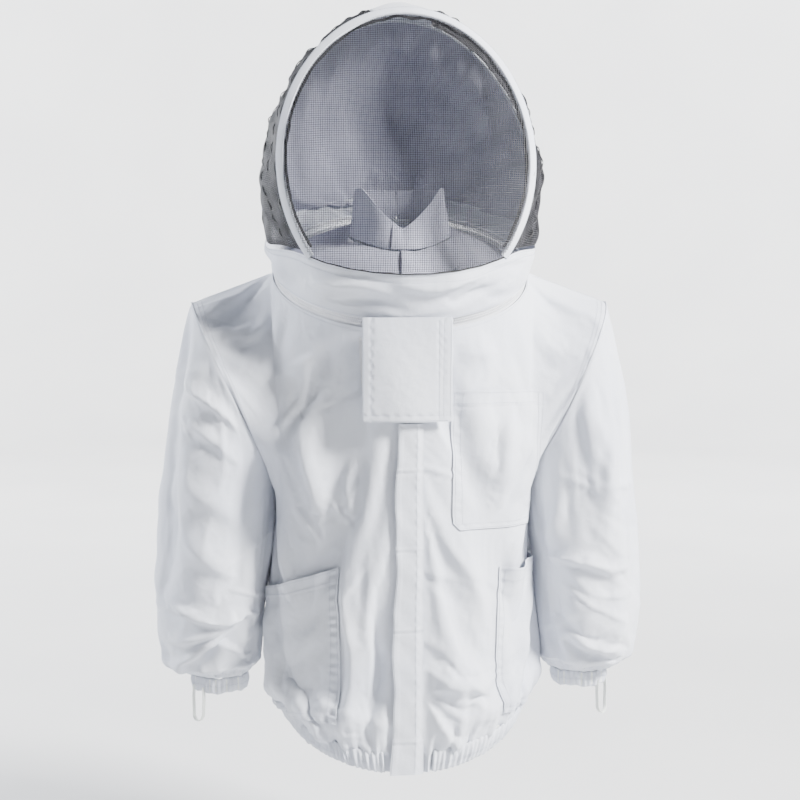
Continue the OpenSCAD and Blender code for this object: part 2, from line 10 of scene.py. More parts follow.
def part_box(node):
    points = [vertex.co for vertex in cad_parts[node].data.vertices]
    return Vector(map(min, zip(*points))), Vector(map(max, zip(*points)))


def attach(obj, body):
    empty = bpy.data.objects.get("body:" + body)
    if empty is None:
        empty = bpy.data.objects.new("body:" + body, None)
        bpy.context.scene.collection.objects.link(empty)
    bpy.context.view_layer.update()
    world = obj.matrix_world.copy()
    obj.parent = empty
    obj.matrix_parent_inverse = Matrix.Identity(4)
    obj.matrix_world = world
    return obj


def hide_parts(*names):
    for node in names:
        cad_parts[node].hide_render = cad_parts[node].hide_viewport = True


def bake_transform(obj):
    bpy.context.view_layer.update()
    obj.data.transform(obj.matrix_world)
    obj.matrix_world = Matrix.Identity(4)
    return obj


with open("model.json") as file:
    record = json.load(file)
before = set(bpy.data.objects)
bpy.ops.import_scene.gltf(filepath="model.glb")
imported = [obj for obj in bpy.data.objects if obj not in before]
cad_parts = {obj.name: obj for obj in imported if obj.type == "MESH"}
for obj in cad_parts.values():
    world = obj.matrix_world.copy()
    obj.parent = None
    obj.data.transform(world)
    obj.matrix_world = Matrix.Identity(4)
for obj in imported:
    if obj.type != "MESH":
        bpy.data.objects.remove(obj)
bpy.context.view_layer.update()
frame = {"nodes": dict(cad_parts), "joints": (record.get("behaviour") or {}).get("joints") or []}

rng = np.random.default_rng(7)
MM = 0.001

# ---- Sizes, in millimetres, from the frame ----

JOINTS = {joint["name"]: joint for joint in frame["joints"]}


def box_mm(node):
    low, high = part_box(node)
    return np.array(low) / MM, np.array(high) / MM


ring_axis = JOINTS["neck_slide_left"]["axis"]
RING_TILT = math.degrees(math.atan2(-ring_axis[1], ring_axis[2]))
TOOTH = 1.5                             # half thickness of a zip's teeth
RING_R = box_mm("neck_teeth_jacket")[1][0] - TOOTH
CLOTH_R = RING_R + 3                    # the cloth edges that meet the neck zip
CLOTH_H = 6.5
SHOULDER = np.array(JOINTS["sleeve_raise_left"]["pos_m"]) / MM
ARMPIT = np.array([172.0, 0, -290])
ARMHOLE_Y = 105
SIDE_X = 190
HEM_X = 162
HEM_Z = [-670, -620, -645]              # at the front, the sides and the back
HEM_BACK_Y = 148
EDGE_X = 7                              # half of the gap between the front edges
CUFF_R = 34
CUFF_LOW = box_mm("cuff_left")[0][2]
CUFF_HIGH = box_mm("cuff_left")[1][2]
CUFF_AT = np.array([256.0, -12, CUFF_HIGH])


# ---- Curves and surfaces of the jacket ----

def lerp(a, b, t):
    return a + (b - a) * t


def eased(t):
    t = np.clip(t, 0, 1)
    return t * t * (3 - 2 * t)


def sind(a):
    return np.sin(np.radians(a))


def cosd(a):
    return np.cos(np.radians(a))


def points(x, y, z):
    return np.stack(np.broadcast_arrays(x, y, z), -1).astype(float)


def mirrored(p):
    return p * np.array([-1, 1, 1])


def on_ring(a, r, h):
    return points(
        r * sind(a),
        -r * cosd(a) * cosd(RING_TILT) - h * sind(RING_TILT),
        -r * cosd(a) * sind(RING_TILT) + h * cosd(RING_TILT),
    )


def part(t, p):
    """A weight or scalar as a column that multiplies points."""
    return np.asarray(t, float)[..., None] * p


def unit(v):
    return v / np.maximum(np.linalg.norm(v, axis=-1, keepdims=True), 1e-9)


def bell(x, at, width):
    return np.exp(-((x - at) / width) ** 2)


def shares(cols, rows):
    """Shares across and down a grid, from 0 to 1."""
    return np.meshgrid(np.linspace(0, 1, cols), np.linspace(0, 1, rows))


def closed_shares(cols, rows):
    """Shares round and down a grid that closes on itself."""
    return np.meshgrid(np.arange(cols) / cols, np.linspace(0, 1, rows))


def share_down(p):
    return np.linspace(0, 1, p.shape[0])[:, None]


def full_turn(a):
    s, c = np.abs(sind(a)), np.abs(cosd(a))
    n = (s**2.5 + c**2.5) ** 0.4
    return s / n, c / n


ARMHOLE_SHARE = 0.44
RING_SHARE = 0.7
NECK_REACH = 0.42
FRONT_A = math.degrees(math.asin(EDGE_X / CLOTH_R))
FRONT_Y = float(on_ring(0, CLOTH_R, -CLOTH_H)[1])


def outer_edge(v, way):
    a = 180 * np.clip(v / ARMHOLE_SHARE, 0, 1)
    centre, half = (SHOULDER + ARMPIT) / 2, (SHOULDER - ARMPIT) / 2
    hole = centre + part(cosd(a), half) + part(sind(a), np.array([0, way * ARMHOLE_Y, 0]))
    t = np.clip((v - ARMHOLE_SHARE) / (1 - ARMHOLE_SHARE), 0, 1)
    belly = np.clip(sind(180 * t * t), 0, 1) ** 0.8
    side = points(
        lerp(ARMPIT[0], HEM_X, t) + (SIDE_X - (ARMPIT[0] + HEM_X) / 2) * belly,
        0,
        lerp(ARMPIT[2], HEM_Z[1], t),
    )
    return np.where((np.asarray(v) < ARMHOLE_SHARE)[..., None], hole, side)


def half_cut(centre, outer, u):
    s, c = full_turn(90 * u)
    return points(
        lerp(centre[..., 0], outer[..., 0], s),
        lerp(outer[..., 1], centre[..., 1], c),
        lerp(outer[..., 2], centre[..., 2], cosd(90 * u) ** 2),
    )


def top_line(u, start):
    past_ring = (u - RING_SHARE) / (1 - RING_SHARE)
    seam = lerp(on_ring(90, CLOTH_R, -CLOTH_H), SHOULDER, past_ring[..., None])
    ring = on_ring(lerp(start, 90, u / RING_SHARE), CLOTH_R, -CLOTH_H)
    return np.where((u < RING_SHARE)[..., None], ring, seam)


def body(centre, outer, top, u, v):
    zero = np.zeros_like(v)
    lift = top(u) - half_cut(centre(zero), outer(zero), u)
    return half_cut(centre(v), outer(v), u) + part(1 - eased(v / NECK_REACH), lift)


def front_top(u):
    return top_line(u, FRONT_A)


def front_edge(v):
    top = front_top(np.zeros(1))[0]
    return points(EDGE_X, top[1], lerp(top[2], HEM_Z[0], v))


def front(u, v):
    """The left front: u runs from the front edge to the side, v from the neck to the hem."""
    return body(front_edge, lambda v: outer_edge(v, -1), front_top, u, v)


BACK_BULGE = 14


def back_edge(v):
    top = top_line(np.zeros(1), 180)[0]
    return points(0, lerp(top[1], HEM_BACK_Y, v) + BACK_BULGE * sind(180 * v),
                  lerp(top[2], HEM_Z[2], v))


def back(u, v):
    """The back: u runs from the wearer's right side (-1) to the left side (1)."""
    half = body(back_edge, lambda v: outer_edge(v, 1), lambda u: top_line(u, 180), np.abs(u), v)
    return np.where((u < 0)[..., None], mirrored(half), half)


BODY_WIDTH, BODY_LENGTH = 260, 620      # rough sizes of a front
SEARCH_STEPS = 20


def find_u(x, z):
    """The u of the place on the left front that has a given x and z."""
    u, v = np.full_like(x, 0.4), np.full_like(x, 0.5)
    for _ in range(SEARCH_STEPS):
        miss = front(u, v) - points(x, 0, z)
        u, v = u - miss[..., 0] / BODY_WIDTH, v + miss[..., 2] / BODY_LENGTH
    return u


def find_v(u, z):
    v = np.full_like(u, 0.5)
    for _ in range(SEARCH_STEPS):
        v = v + (front(u, v)[..., 2] - z) / BODY_LENGTH
    return v


ARMHOLE_AT = (SHOULDER + ARMPIT) / 2
ARMHOLE_HALF = (SHOULDER - ARMPIT) / 2
SLEEVE = {                              # stations from the armhole (0) to the cuff (1)
    "x": [(0, ARMHOLE_AT[0]), (0.1, 244), (0.25, 257), (0.5, 268), (0.75, 270), (0.92, 264),
          (1, 256)],
    "y": [(0, 0), (0.5, -4), (1, -12)],
    "z": [(0, ARMHOLE_AT[2]), (0.25, -270), (0.5, -380), (0.75, -480), (0.92, -546), (1, -566)],
    "a": [(0, np.linalg.norm(ARMHOLE_HALF)), (0.1, 116), (0.25, 100), (0.5, 81), (0.75, 73),
          (0.92, 66), (1, CUFF_R + 5)],
    "b": [(0, ARMHOLE_Y), (0.25, 96), (0.5, 83), (0.75, 75), (0.92, 64), (1, CUFF_R + 5)],
    "lean": [(0, math.degrees(math.atan2(ARMHOLE_HALF[2], ARMHOLE_HALF[0]))), (0.25, 38),
             (0.5, 15), (0.75, 5), (1, 0)],
}


def lookup(v, stations):
    return np.interp(v, *zip(*stations))


def sleeve(u, v):
    """The left sleeve: u runs round it, v from the armhole to the cuff."""
    at = {name: lookup(v, stations) for name, stations in SLEEVE.items()}
    a = at["a"] * cosd(360 * u)
    b = at["b"] * sind(360 * u)
    return points(at["x"] + a * cosd(at["lean"]), at["y"] + b, at["z"] + a * sind(at["lean"]))


# ---- Curves and surfaces of the hood ----

BAND_H = [72, 36]                       # height of the collar band at the front and the sides
FOOT_A, REAR_FOOT_A = 47, 98            # where the hoops stand on it, from the centre front
CASING = [5.5, 2.6]                     # half width and half thickness of a hoop's casing
CROWN_A = 15                            # the crown spans this angle on each side of the top
CROWN_OUT, VEIL_OUT, BACK_OUT = 14, 40, 78


def band_top(a, lift=0):
    side = np.where(np.abs(a) > 180, 360 - np.abs(a), np.abs(a))
    h = lerp(BAND_H[0], BAND_H[1], eased((side - 50) / 45))
    fuller = np.where(side < 100, lerp(2, 12, eased((side - 40) / 50)),
                      lerp(12, 3, eased((side - 100) / 60)))
    return on_ring(a, RING_R + fuller, h + lift)


def band(u, v):
    return lerp(on_ring(360 * u, CLOTH_R, CLOTH_H), band_top(360 * u), v[..., None])


def hoop_curve(foot_a, half_x, top):
    """A hoop that leans back from its feet to its top, and the angle from its top to a foot."""
    foot = band_top(np.array(foot_a), CASING[0] + 1)
    end = 180 - math.degrees(math.asin(foot[0] / half_x))
    rise = (top[2] - foot[2]) / (1 - cosd(end))

    def curve(a):
        z = top[2] - rise * (1 - cosd(a))
        y = lerp(foot[1], top[1], eased((z - foot[2]) / (top[2] - foot[2])))
        return points(half_x * sind(a), y, z)

    return curve, end


HOOP_HALF = [165, 190]                  # half widths of the front and the rear hoop
HOOP_TOP = [[0, -95, 338], [0, 75, 350]]
front_hoop, FRONT_END = hoop_curve(FOOT_A, HOOP_HALF[0], HOOP_TOP[0])
rear_hoop, REAR_END = hoop_curve(REAR_FOOT_A, HOOP_HALF[1], HOOP_TOP[1])


def bezier(a, b, c, t):
    t = t[..., None]
    return (1 - t) ** 2 * a + 2 * t * (1 - t) * b + t * t * c


def veil(u, v):
    top = front_hoop(lerp(-FRONT_END, FRONT_END, u))
    low = band_top(lerp(-FOOT_A, FOOT_A, u), 1)
    swell = np.clip(sind(180 * np.clip(u, 0, 1)), 0, 1) ** 1.2
    return bezier(top, (top + low) / 2 + part(swell, np.array([0, -2 * VEIL_OUT, 0])), low, v)


def gore(u, v):
    """The hood's left side: u runs from the front hoop to the rear hoop, v from crown to band."""
    def top(t):
        return lerp(front_hoop(CROWN_A), rear_hoop(CROWN_A), t[..., None]) + part(
            sind(180 * t), np.array([0, 0, CROWN_OUT]))

    def low(t):
        return band_top(lerp(FOOT_A, REAR_FOOT_A, t), 1)

    fore, rear = front_hoop(lerp(CROWN_A, FRONT_END, v)), rear_hoop(lerp(CROWN_A, REAR_END, v))
    zero, one = np.zeros_like(u), np.ones_like(u)
    across, down = u[..., None], v[..., None]
    return (lerp(top(u), low(u), down) + lerp(fore, rear, across)
            - lerp(lerp(top(zero), top(one), across), lerp(low(zero), low(one), across), down))


def crown(u, v):
    a = lerp(-CROWN_A, CROWN_A, v)
    return lerp(front_hoop(a), rear_hoop(a), u[..., None]) + part(
        sind(180 * u), np.array([0, 0, CROWN_OUT]))


def hood_back(u, v):
    top = rear_hoop(lerp(-REAR_END, REAR_END, u))
    low = band_top(-REAR_FOOT_A - (360 - 2 * REAR_FOOT_A) * u, 1)
    swell = np.clip(sind(180 * np.clip(u, 0, 1)), 0, 1)
    bulge = points(0, 2 * BACK_OUT * swell**0.9, 10 * swell)
    return bezier(top, (top + low) / 2 + bulge, low, v)


COLLAR_R, COLLAR_Y = [70, 62], 8
COLLAR_LOW, COLLAR_HIGH = [33, 57], [53, 110]   # heights at the front and the back
COLLAR_FLARE = 9                        # how far the collar's foot leans out at the front


def collar_low(a):
    flare = COLLAR_FLARE * eased(1 - np.abs(a) / 75)
    return points(COLLAR_R[0] * sind(a), COLLAR_Y - COLLAR_R[0] * cosd(a) - flare,
                  lerp(COLLAR_LOW[1], COLLAR_LOW[0], (1 + cosd(a)) / 2) - flare)


def collar_high(a):
    rise = np.clip(np.abs(a) / 62, 0, 1)
    return points(COLLAR_R[1] * sind(a), COLLAR_Y - COLLAR_R[1] * cosd(a),
                  lerp(*COLLAR_HIGH, 0.7 * rise + 0.3 * eased(rise)))


def yoke(u, v):
    a = lerp(1, 179.6, u)
    return lerp(on_ring(a, RING_R - 3, -9), collar_low(a), v[..., None]) + part(
        sind(180 * v), np.array([0, 0, 8]))


def collar(a, v):
    return lerp(collar_low(a), collar_high(a), v[..., None])


# ---- Grids of points ----

def grid(surface, u, v, cols, rows):
    """Points of a surface over the ranges u and v: a row of points for each v."""
    return surface(*np.meshgrid(np.linspace(*u, cols + 1), np.linspace(*v, rows + 1)))


def normals(p, wrap=False):
    across = np.roll(p, -1, 1) - np.roll(p, 1, 1) if wrap else np.gradient(p, axis=1)
    return unit(np.cross(across, np.gradient(p, axis=0)))


def facing(p, centre, wrap=False):
    """The normals of a grid, turned away from a centre."""
    n = normals(p, wrap)
    return n * (1 if (n * (p - centre)).sum() > 0 else -1)


def sample(p, a, b):
    """The points of a grid at shares a across it and b down it."""
    rows, cols = p.shape[:2]
    x, y = np.clip(a, 0, 1) * (cols - 1), np.clip(b, 0, 1) * (rows - 1)
    i, j = np.minimum(x.astype(int), cols - 2), np.minimum(y.astype(int), rows - 2)
    x, y = (x - i)[..., None], (y - j)[..., None]
    return lerp(lerp(p[j, i], p[j, i + 1], x), lerp(p[j + 1, i], p[j + 1, i + 1], x), y)


def finer(p, wrap=False):
    """The same grid with a new point between each two, on a smooth curve through them."""
    def along_rows(p, wrap):
        if wrap:
            before, after, last = np.roll(p, 1, 0), np.roll(p, -1, 0), np.roll(p, -2, 0)
            middle = (9 * (p + after) - before - last) / 16
            return np.stack([p, middle], 1).reshape(-1, *p.shape[1:])
        ends = np.concatenate([2 * p[:1] - p[1:2], p, 2 * p[-1:] - p[-2:-1]])
        middle = (9 * (ends[1:-2] + ends[2:-1]) - ends[:-3] - ends[3:]) / 16
        out = np.empty((2 * len(p) - 1, *p.shape[1:]))
        out[::2], out[1::2] = p, middle
        return out

    return along_rows(along_rows(p, False).swapaxes(0, 1), wrap).swapaxes(0, 1)


def arc_length(p, axis=1):
    steps = np.linalg.norm(np.diff(p, axis=axis), axis=-1)
    start = np.zeros_like(np.take(steps, [0], axis))
    return np.concatenate([start, np.cumsum(steps, axis)], axis)


def cloth_map(p):
    """Places on the cloth in metres, for its weave."""
    return np.stack([arc_length(p, 1), arc_length(p, 0)], -1) * MM


# ---- Pieces from points ----

def make_mesh(name, verts, faces):
    """A mesh from points in millimetres and groups of faces."""
    mesh = bpy.data.meshes.new(name)
    mesh.from_pydata((verts * MM).tolist(), [], [f for group in faces for f in group.tolist()])
    mesh.polygons.foreach_set("use_smooth", [True] * len(mesh.polygons))
    return mesh


def linked(name, data):
    obj = bpy.data.objects.new(name, data)
    bpy.context.scene.collection.objects.link(obj)
    return obj


def new_piece(name, verts, faces, material, place, node=None, uv=None):
    mesh = make_mesh(name, verts, faces)
    if uv is not None:
        corners = np.empty(len(mesh.loops), int)
        mesh.loops.foreach_get("vertex_index", corners)
        mesh.uv_layers.new(name="cloth").data.foreach_set("uv", uv[corners].ravel())
    mesh.set_sharp_from_angle(angle=math.radians(70))
    mesh.materials.append(material)
    obj = linked(name, mesh)
    if isinstance(place, str):
        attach(obj, place)
    else:
        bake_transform(obj)
    if node:
        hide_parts(node)


def closing(at):
    """A grid with its first column once more at its end."""
    return np.concatenate([at, at[:, :1]], 1)


def quads(at):
    """Four-sided faces between the places of a grid."""
    return np.stack([at[:-1, :-1], at[1:, :-1], at[1:, 1:], at[:-1, 1:]], -1).reshape(-1, 4)


def sheet_piece(name, p, n, t, material, place, node, wrap=False):
    """A sheet of thickness t whose outer face is the grid p, with n pointing out of it."""
    size = p.shape[0] * p.shape[1]
    uv = cloth_map(p).reshape(-1, 2)
    at = np.arange(size).reshape(p.shape[:2])
    at = closing(at) if wrap else at
    edges = [at[-1], at[0, ::-1]] + ([] if wrap else [at[:, 0], at[::-1, -1]])
    rim = [np.c_[e[1:], e[:-1], e[:-1] + size, e[1:] + size] for e in edges]
    faces = np.concatenate([quads(at), quads(at)[:, ::-1] + size, *rim])
    if (normals(p, wrap) * n).sum() > 0:
        faces = faces[:, ::-1]
    verts = np.concatenate([p.reshape(-1, 3), (p - n * t).reshape(-1, 3)])
    new_piece(name, verts, [faces], material, place, node, np.r_[uv, uv])


def tube_mesh(rings, closed=False):
    """Points and faces of a tube through rings of points (rings, sides, 3)."""
    count, sides = rings.shape[:2]
    at = np.arange(count * sides).reshape(count, sides)
    if closed:
        at = np.r_[at, at[:1]]
    ahead = np.roll(at, -1, 1)
    walls = np.stack([at[:-1], at[1:], ahead[1:], ahead[:-1]], -1).reshape(-1, 4)
    faces = [walls] if closed else [walls, at[:1], at[-1:, ::-1]]
    return rings.reshape(-1, 3), faces


def joined(parts):
    """Several (points, faces) as one."""
    verts, faces, shift = [], [], 0
    for points_, groups in parts:
        verts.append(points_)
        faces += [group + shift for group in groups]
        shift += len(points_)
    return np.concatenate(verts), faces


def ring_uv(along, across):
    """Cloth places for the rings of a tube, from distances along and across it."""
    return np.stack(np.broadcast_arrays(along[:, None], across), -1).reshape(-1, 2) * MM


def frames_along(path, out):
    """Unit vectors along a path, beside it and out of the surface that it lies on."""
    along = unit(np.gradient(path, axis=-2))
    beside = unit(np.cross(out, along))
    return along, beside, np.cross(along, beside)


def sweep(path, out, section):
    """Rings of a section, (beside, out) in millimetres, carried along a path."""
    _, beside, up = frames_along(path, out)
    x, z = section[:, 0, None], section[:, 1, None]
    return path[:, None] + x * beside[:, None] + z * up[:, None]


THREAD_SIDES = 3


def threads(lines, out, r, keep=None):
    """Round threads along many lines of points; keep says which of their steps are there."""
    _, beside, up = frames_along(lines, out)
    turn = np.radians(360 * np.arange(THREAD_SIDES) / THREAD_SIDES)[:, None]
    off = np.cos(turn) * beside[:, :, None] + np.sin(turn) * up[:, :, None]
    rings = lines[:, :, None] + r * off
    at = np.arange(rings[..., 0].size).reshape(rings.shape[:3])
    ahead = np.roll(at, -1, 2)
    faces = np.stack([at[:, :-1], at[:, 1:], ahead[:, 1:], ahead[:, :-1]], -1)
    faces = (faces if keep is None else faces[keep]).reshape(-1, 4)
    used, faces = np.unique(faces, return_inverse=True)
    return rings.reshape(-1, 3)[used], [faces.reshape(-1, 4)]


def copies(shape, frames):
    """Copies of one small shape at many places: frames holds the place, x, y and z of each."""
    verts, faces = shape
    moved = frames[:, :1] + np.einsum("kc,ncd->nkd", verts, frames[:, 1:])
    shift = (np.arange(len(frames)) * len(verts))[:, None, None]
    return moved.reshape(-1, 3), [(f[None] + shift).reshape(-1, f.shape[1]) for f in faces]


def rounded_bar(length, width, height):
    """A small bar along x with soft edges, standing on z = 0."""
    turn = np.radians(45 * np.arange(8) + 22.5)
    section = np.stack([np.cos(turn), np.sin(turn)], -1)
    x, z = (np.sign(section) * np.abs(section) ** 0.6).T
    rings = [points(s * length, k * width / 2 * x, height / 2 * (1 + k * z))
             for s, k in ((-0.5, 0.55), (-0.42, 1), (0, 1), (0.42, 1), (0.5, 0.55))]
    return tube_mesh(np.array(rings))


STITCH = 3.1                            # length of a stitch with its gap


def stitch_shape():
    turn = np.radians(72 * np.arange(5))
    profile = ((-1.15, 0.1, -0.15), (-0.8, 0.24, 0.12), (0, 0.3, 0.28), (0.8, 0.24, 0.12),
               (1.15, 0.1, -0.15))      # place along it, radius, height
    return tube_mesh(np.array([points(x, r * np.cos(turn), z + r * np.sin(turn))
                               for x, r, z in profile]))


SEWN = {}                               # rows of stitches, by the body that they ride on


def sew_path(place, path, out):
    """A row of stitches on a path that lies on cloth."""
    s = arc_length(path, 0)
    at = np.arange(STITCH, s[-1] - STITCH / 2, STITCH)
    rows = [np.stack([np.interp(at, s, v[:, k]) for k in range(3)], -1)
            for v in (path, *frames_along(path, out))]
    rows[0] = rows[0] + rows[3] * 0.1
    SEWN.setdefault(place, []).append(copies(stitch_shape(), np.stack(rows, 1)))


def sew(place, p, n, a, b, count=240):
    """A row of stitches on a grid, along a line of shares a and b, each fixed or (start, end)."""
    t = np.linspace(0, 1, count)
    a, b = (lerp(*np.broadcast_to(share, 2), t) for share in (a, b))
    sew_path(place, sample(p, a, b), sample(n, a, b))


# ---- Folds ----

def soft_waves(p, height, lengths):
    """Smooth random swells of a surface."""
    total = 0
    for length in lengths:
        way = rng.normal(size=3)
        way *= 360 / length / np.linalg.norm(way)
        total = total + sind(p @ way + rng.uniform(0, 360)) * math.sqrt(length / lengths[0])
    return height * total / math.sqrt(len(lengths))


CREASE_WANDER = 5                       # how far a crease strays from its line
CREASE_STEEP = 1.9                      # how much steeper its steep side is


def crease(p, n, way, a, b, width, height):
    """A soft ridge along a line (x, z), as seen from the front (way -1) or the back (way 1).
    It is steeper on the right of its line."""
    d = np.array(b, float) - a
    x, z = p[..., 0], p[..., 2]
    wander = CREASE_WANDER * np.stack([sind(z * 2.1 + x), sind(x * 2.6 - z)], -1)
    q = p[..., [0, 2]] - a + wander
    t = np.clip((q @ d) / (d @ d), 0, 1)
    off = q - t[..., None] * d
    side = np.sign(off[..., 0] * d[1] - off[..., 1] * d[0])
    off = np.linalg.norm(off, axis=-1) / width * np.where(side > 0, CREASE_STEEP, 1)
    ends = 0.3 + 0.7 * sind(180 * t)
    return height * ends * np.exp(-off**2) * np.clip(way * n[..., 1] * 2, 0, 1)


def crumple(p, n, way, count, x, z, length, height, lean, spread):
    """Many small creases at random places in a range of x and z, most of them at one lean."""
    total = 0
    for _ in range(count):
        at = np.array([rng.uniform(*x), rng.uniform(*z)])
        turn, reach = lean + spread * rng.normal(), rng.uniform(*length) / 2
        d = reach * np.array([cosd(turn), sind(turn)])
        size = height * rng.uniform(0.45, 1) * rng.choice([1, 1, -0.8])
        total = total + crease(p, n, way, at - d, at + d, rng.uniform(4.5, 12), size)
    return total


def gathers(along, away, height, pitches=(9, 14, 23, 38)):
    """Small folds that fan out from an elastic edge, by the distances along and away from it."""
    total = 0
    for pitch in pitches:
        slant = rng.uniform(-0.25, 0.25)
        bend = 70 * sind(along / pitch * 47 + rng.uniform(0, 360))
        total = total + math.sqrt(pitch / 9) * np.exp(-away / (2 * pitch)) * sind(
            360 * (along + slant * away) / pitch + bend + rng.uniform(0, 360))
    return height * total / math.sqrt(len(pitches))


def weld(grids):
    """The points of several grids that share edges, and each grid's places among them."""
    flat = np.concatenate([g.reshape(-1, 3) for g in grids])
    _, first, place = np.unique(np.round(flat, 3), axis=0, return_index=True, return_inverse=True)
    place = place.ravel()
    places, start = [], 0
    for g in grids:
        size = g.shape[0] * g.shape[1]
        places.append(place[start:start + size].reshape(g.shape[:2]))
        start += size
    return flat[first], places


DRAPE_FRAMES = 34
DRAPE_GRAVITY = 0.45
MOST_MOVE = 26                          # no point moves further than this, in millimetres


def drape(grids, hold, slack, most, wrap=False, stiff=2.5):
    """Lets cloth fall and fold. hold is how firmly each point stays (1 is sewn down), and slack
    how much longer the cloth is than its place (0 to 1 of the most)."""
    verts, places = weld(grids)
    obj = linked("drape", make_mesh("drape", verts, [
        quads(closing(at) if wrap else at) for at in places]))
    scene = bpy.context.scene
    for name, weights in (("hold", hold), ("slack", slack)):
        group = obj.vertex_groups.new(name=name)
        each = np.zeros(len(verts))
        for at, w in zip(places, weights):
            np.maximum.at(each, at.ravel(), np.broadcast_to(w, at.shape).ravel())
        for i, w in enumerate(np.clip(each, 0, 1)):
            group.add([i], float(w), "REPLACE")
    cloth = obj.modifiers.new("cloth", "CLOTH")
    s = cloth.settings
    s.quality, s.mass, s.air_damping = 4, 0.2, 2
    s.tension_stiffness = s.compression_stiffness = 25
    s.shear_stiffness = s.tension_damping = s.compression_damping = s.shear_damping = 8
    s.bending_stiffness, s.bending_damping = stiff, 2
    s.vertex_group_mass, s.pin_stiffness = "hold", 1
    s.vertex_group_shrink, s.shrink_min, s.shrink_max = "slack", 0, -most
    s.effector_weights.gravity = DRAPE_GRAVITY
    cloth.collision_settings.use_collision = False
    cloth.collision_settings.use_self_collision = False
    cloth.point_cache.frame_start, cloth.point_cache.frame_end = 1, DRAPE_FRAMES
    for frame_number in range(1, DRAPE_FRAMES + 1):
        scene.frame_set(frame_number)
    done = obj.evaluated_get(bpy.context.evaluated_depsgraph_get()).data
    moved = np.empty(len(verts) * 3, np.float32)
    done.vertices.foreach_get("co", moved)
    moved = moved.reshape(-1, 3) / MM - verts
    bpy.data.objects.remove(obj)
    scene.frame_set(1)
    far = np.linalg.norm(moved, axis=1, keepdims=True)
    verts = verts + moved * np.minimum(1, MOST_MOVE / np.maximum(far, 1e-6))
    return [verts[at] for at in places]


# ---- Materials ----

def shader(name, colour, roughness, **constants):
    """A material with one principled shader, and its node tree."""
    mat = bpy.data.materials.new(name)
    mat.use_nodes = True
    bsdf = mat.node_tree.nodes["Principled BSDF"]
    bsdf.inputs["Base Color"].default_value = (*colour, 1)
    bsdf.inputs["Roughness"].default_value = roughness
    for socket, value in constants.items():
        bsdf.inputs[socket.replace("_", " ")].default_value = value
    return mat, mat.node_tree, bsdf


def add(tree, kind, links=(), **settings):
    """A node of a kind, with input links [(input, socket)] and settings or input values."""
    node = tree.nodes.new("ShaderNode" + kind)
    for key, value in settings.items():
        name = key.replace("_", " ").title()
        if name in node.inputs:
            node.inputs[name].default_value = value
        else:
            setattr(node, key, value)
    for target, source in links:
        tree.links.new(source, node.inputs[target])
    return node


def cloth_coordinates(tree):
    return add(tree, "UVMap", uv_map="cloth").outputs["UV"]


def object_coordinates(tree):
    return add(tree, "TexCoord").outputs["Object"]


def noise(tree, scale, detail):
    return add(tree, "TexNoise", [("Vector", object_coordinates(tree))], scale=scale,
               detail=detail).outputs["Fac"]


def mottled(tree, bsdf, dark, light, scale):
    """Colour that drifts softly between two shades."""
    ramp = add(tree, "ValToRGB", [("Fac", noise(tree, scale, 3.0))])
    for stop, at, colour in zip(ramp.color_ramp.elements, (0.35, 0.65), (dark, light)):
        stop.position, stop.color = at, (*colour, 1)
    tree.links.new(ramp.outputs["Color"], bsdf.inputs["Base Color"])


def bumps(tree, bsdf, layers):
    """Bump layers [(height socket, strength, distance in metres)], one over another."""
    normal = None
    for height, strength, distance in layers:
        links = [("Height", height)] + ([("Normal", normal)] if normal else [])
        normal = add(tree, "Bump", links, strength=strength, distance=distance).outputs["Normal"]
    tree.links.new(normal, bsdf.inputs["Normal"])


def wave(tree, vector, length, direction, distortion):
    """Parallel lines that repeat at a length in metres."""
    spread = 20 if direction != "DIAGONAL" else 10
    return add(tree, "TexWave", [("Vector", vector)], wave_type="BANDS", bands_direction=direction,
               scale=2 * math.pi / (spread * length), distortion=distortion).outputs["Fac"]


def woven(name, dark, light, line, wrinkle=0.5, **constants):
    """Cloth with a twill or a rib of the given pitch, and soft wrinkles."""
    mat, tree, bsdf = shader(name, light, 0.85, **constants)
    mottled(tree, bsdf, dark, light, 7)
    places = cloth_coordinates(tree)
    bumps(tree, bsdf, [(noise(tree, 75, 4), wrinkle, 0.0018),
                       (wave(tree, places, line, "DIAGONAL", 0.6), 0.4, 0.00022),
                       (wave(tree, places, line * 0.55, "Y", 0.4), 0.25, 0.00012)])
    return mat


def plain_woven(name, dark, light, pitch, roughness=0.8, bump=0.5):
    """A narrow woven tape, with no cloth coordinates of its own."""
    mat, tree, bsdf = shader(name, light, roughness)
    mottled(tree, bsdf, dark, light, 40)
    places = object_coordinates(tree)
    bumps(tree, bsdf, [(wave(tree, places, pitch, way, 0.3), bump, 0.0003) for way in "ZX"])
    return mat


COTTON = woven("cotton_twill", (0.62, 0.65, 0.735), (0.70, 0.725, 0.79), 0.0011,
               Sheen_Weight=0.25, Sheen_Roughness=0.45)
# A darker, bluer copy of the white cotton: painted shade for the cloth inside the neck and the
# hood (the yoke, the collar and the hood's back).
SHADED_COTTON = woven("cotton_painted_shade", (0.36, 0.37, 0.47), (0.44, 0.45, 0.56), 0.0011,
               Sheen_Weight=0.15)
ELASTIC = woven("ribbed_elastic", (0.76, 0.79, 0.76), (0.86, 0.88, 0.85), 0.0018, wrinkle=0.05)
TAPE = plain_woven("zip_tape", (0.78, 0.79, 0.84), (0.86, 0.87, 0.91), 0.0011)
NET = plain_woven("net_thread", (0.022, 0.022, 0.026), (0.06, 0.06, 0.07), 0.0008, 0.55, 0.3)
NET_EDGE = plain_woven("net_binding", (0.01, 0.01, 0.012), (0.035, 0.035, 0.04), 0.0014, 0.7, 0.8)
# The stitches are white thread; their darker blue-grey is painted shade, for the shadow that lines
# each seam.
SHADED_THREAD = plain_woven("sewing_thread_painted_shade", (0.42, 0.45, 0.55), (0.52, 0.55, 0.64), 0.0004, 0.6, 0.4)


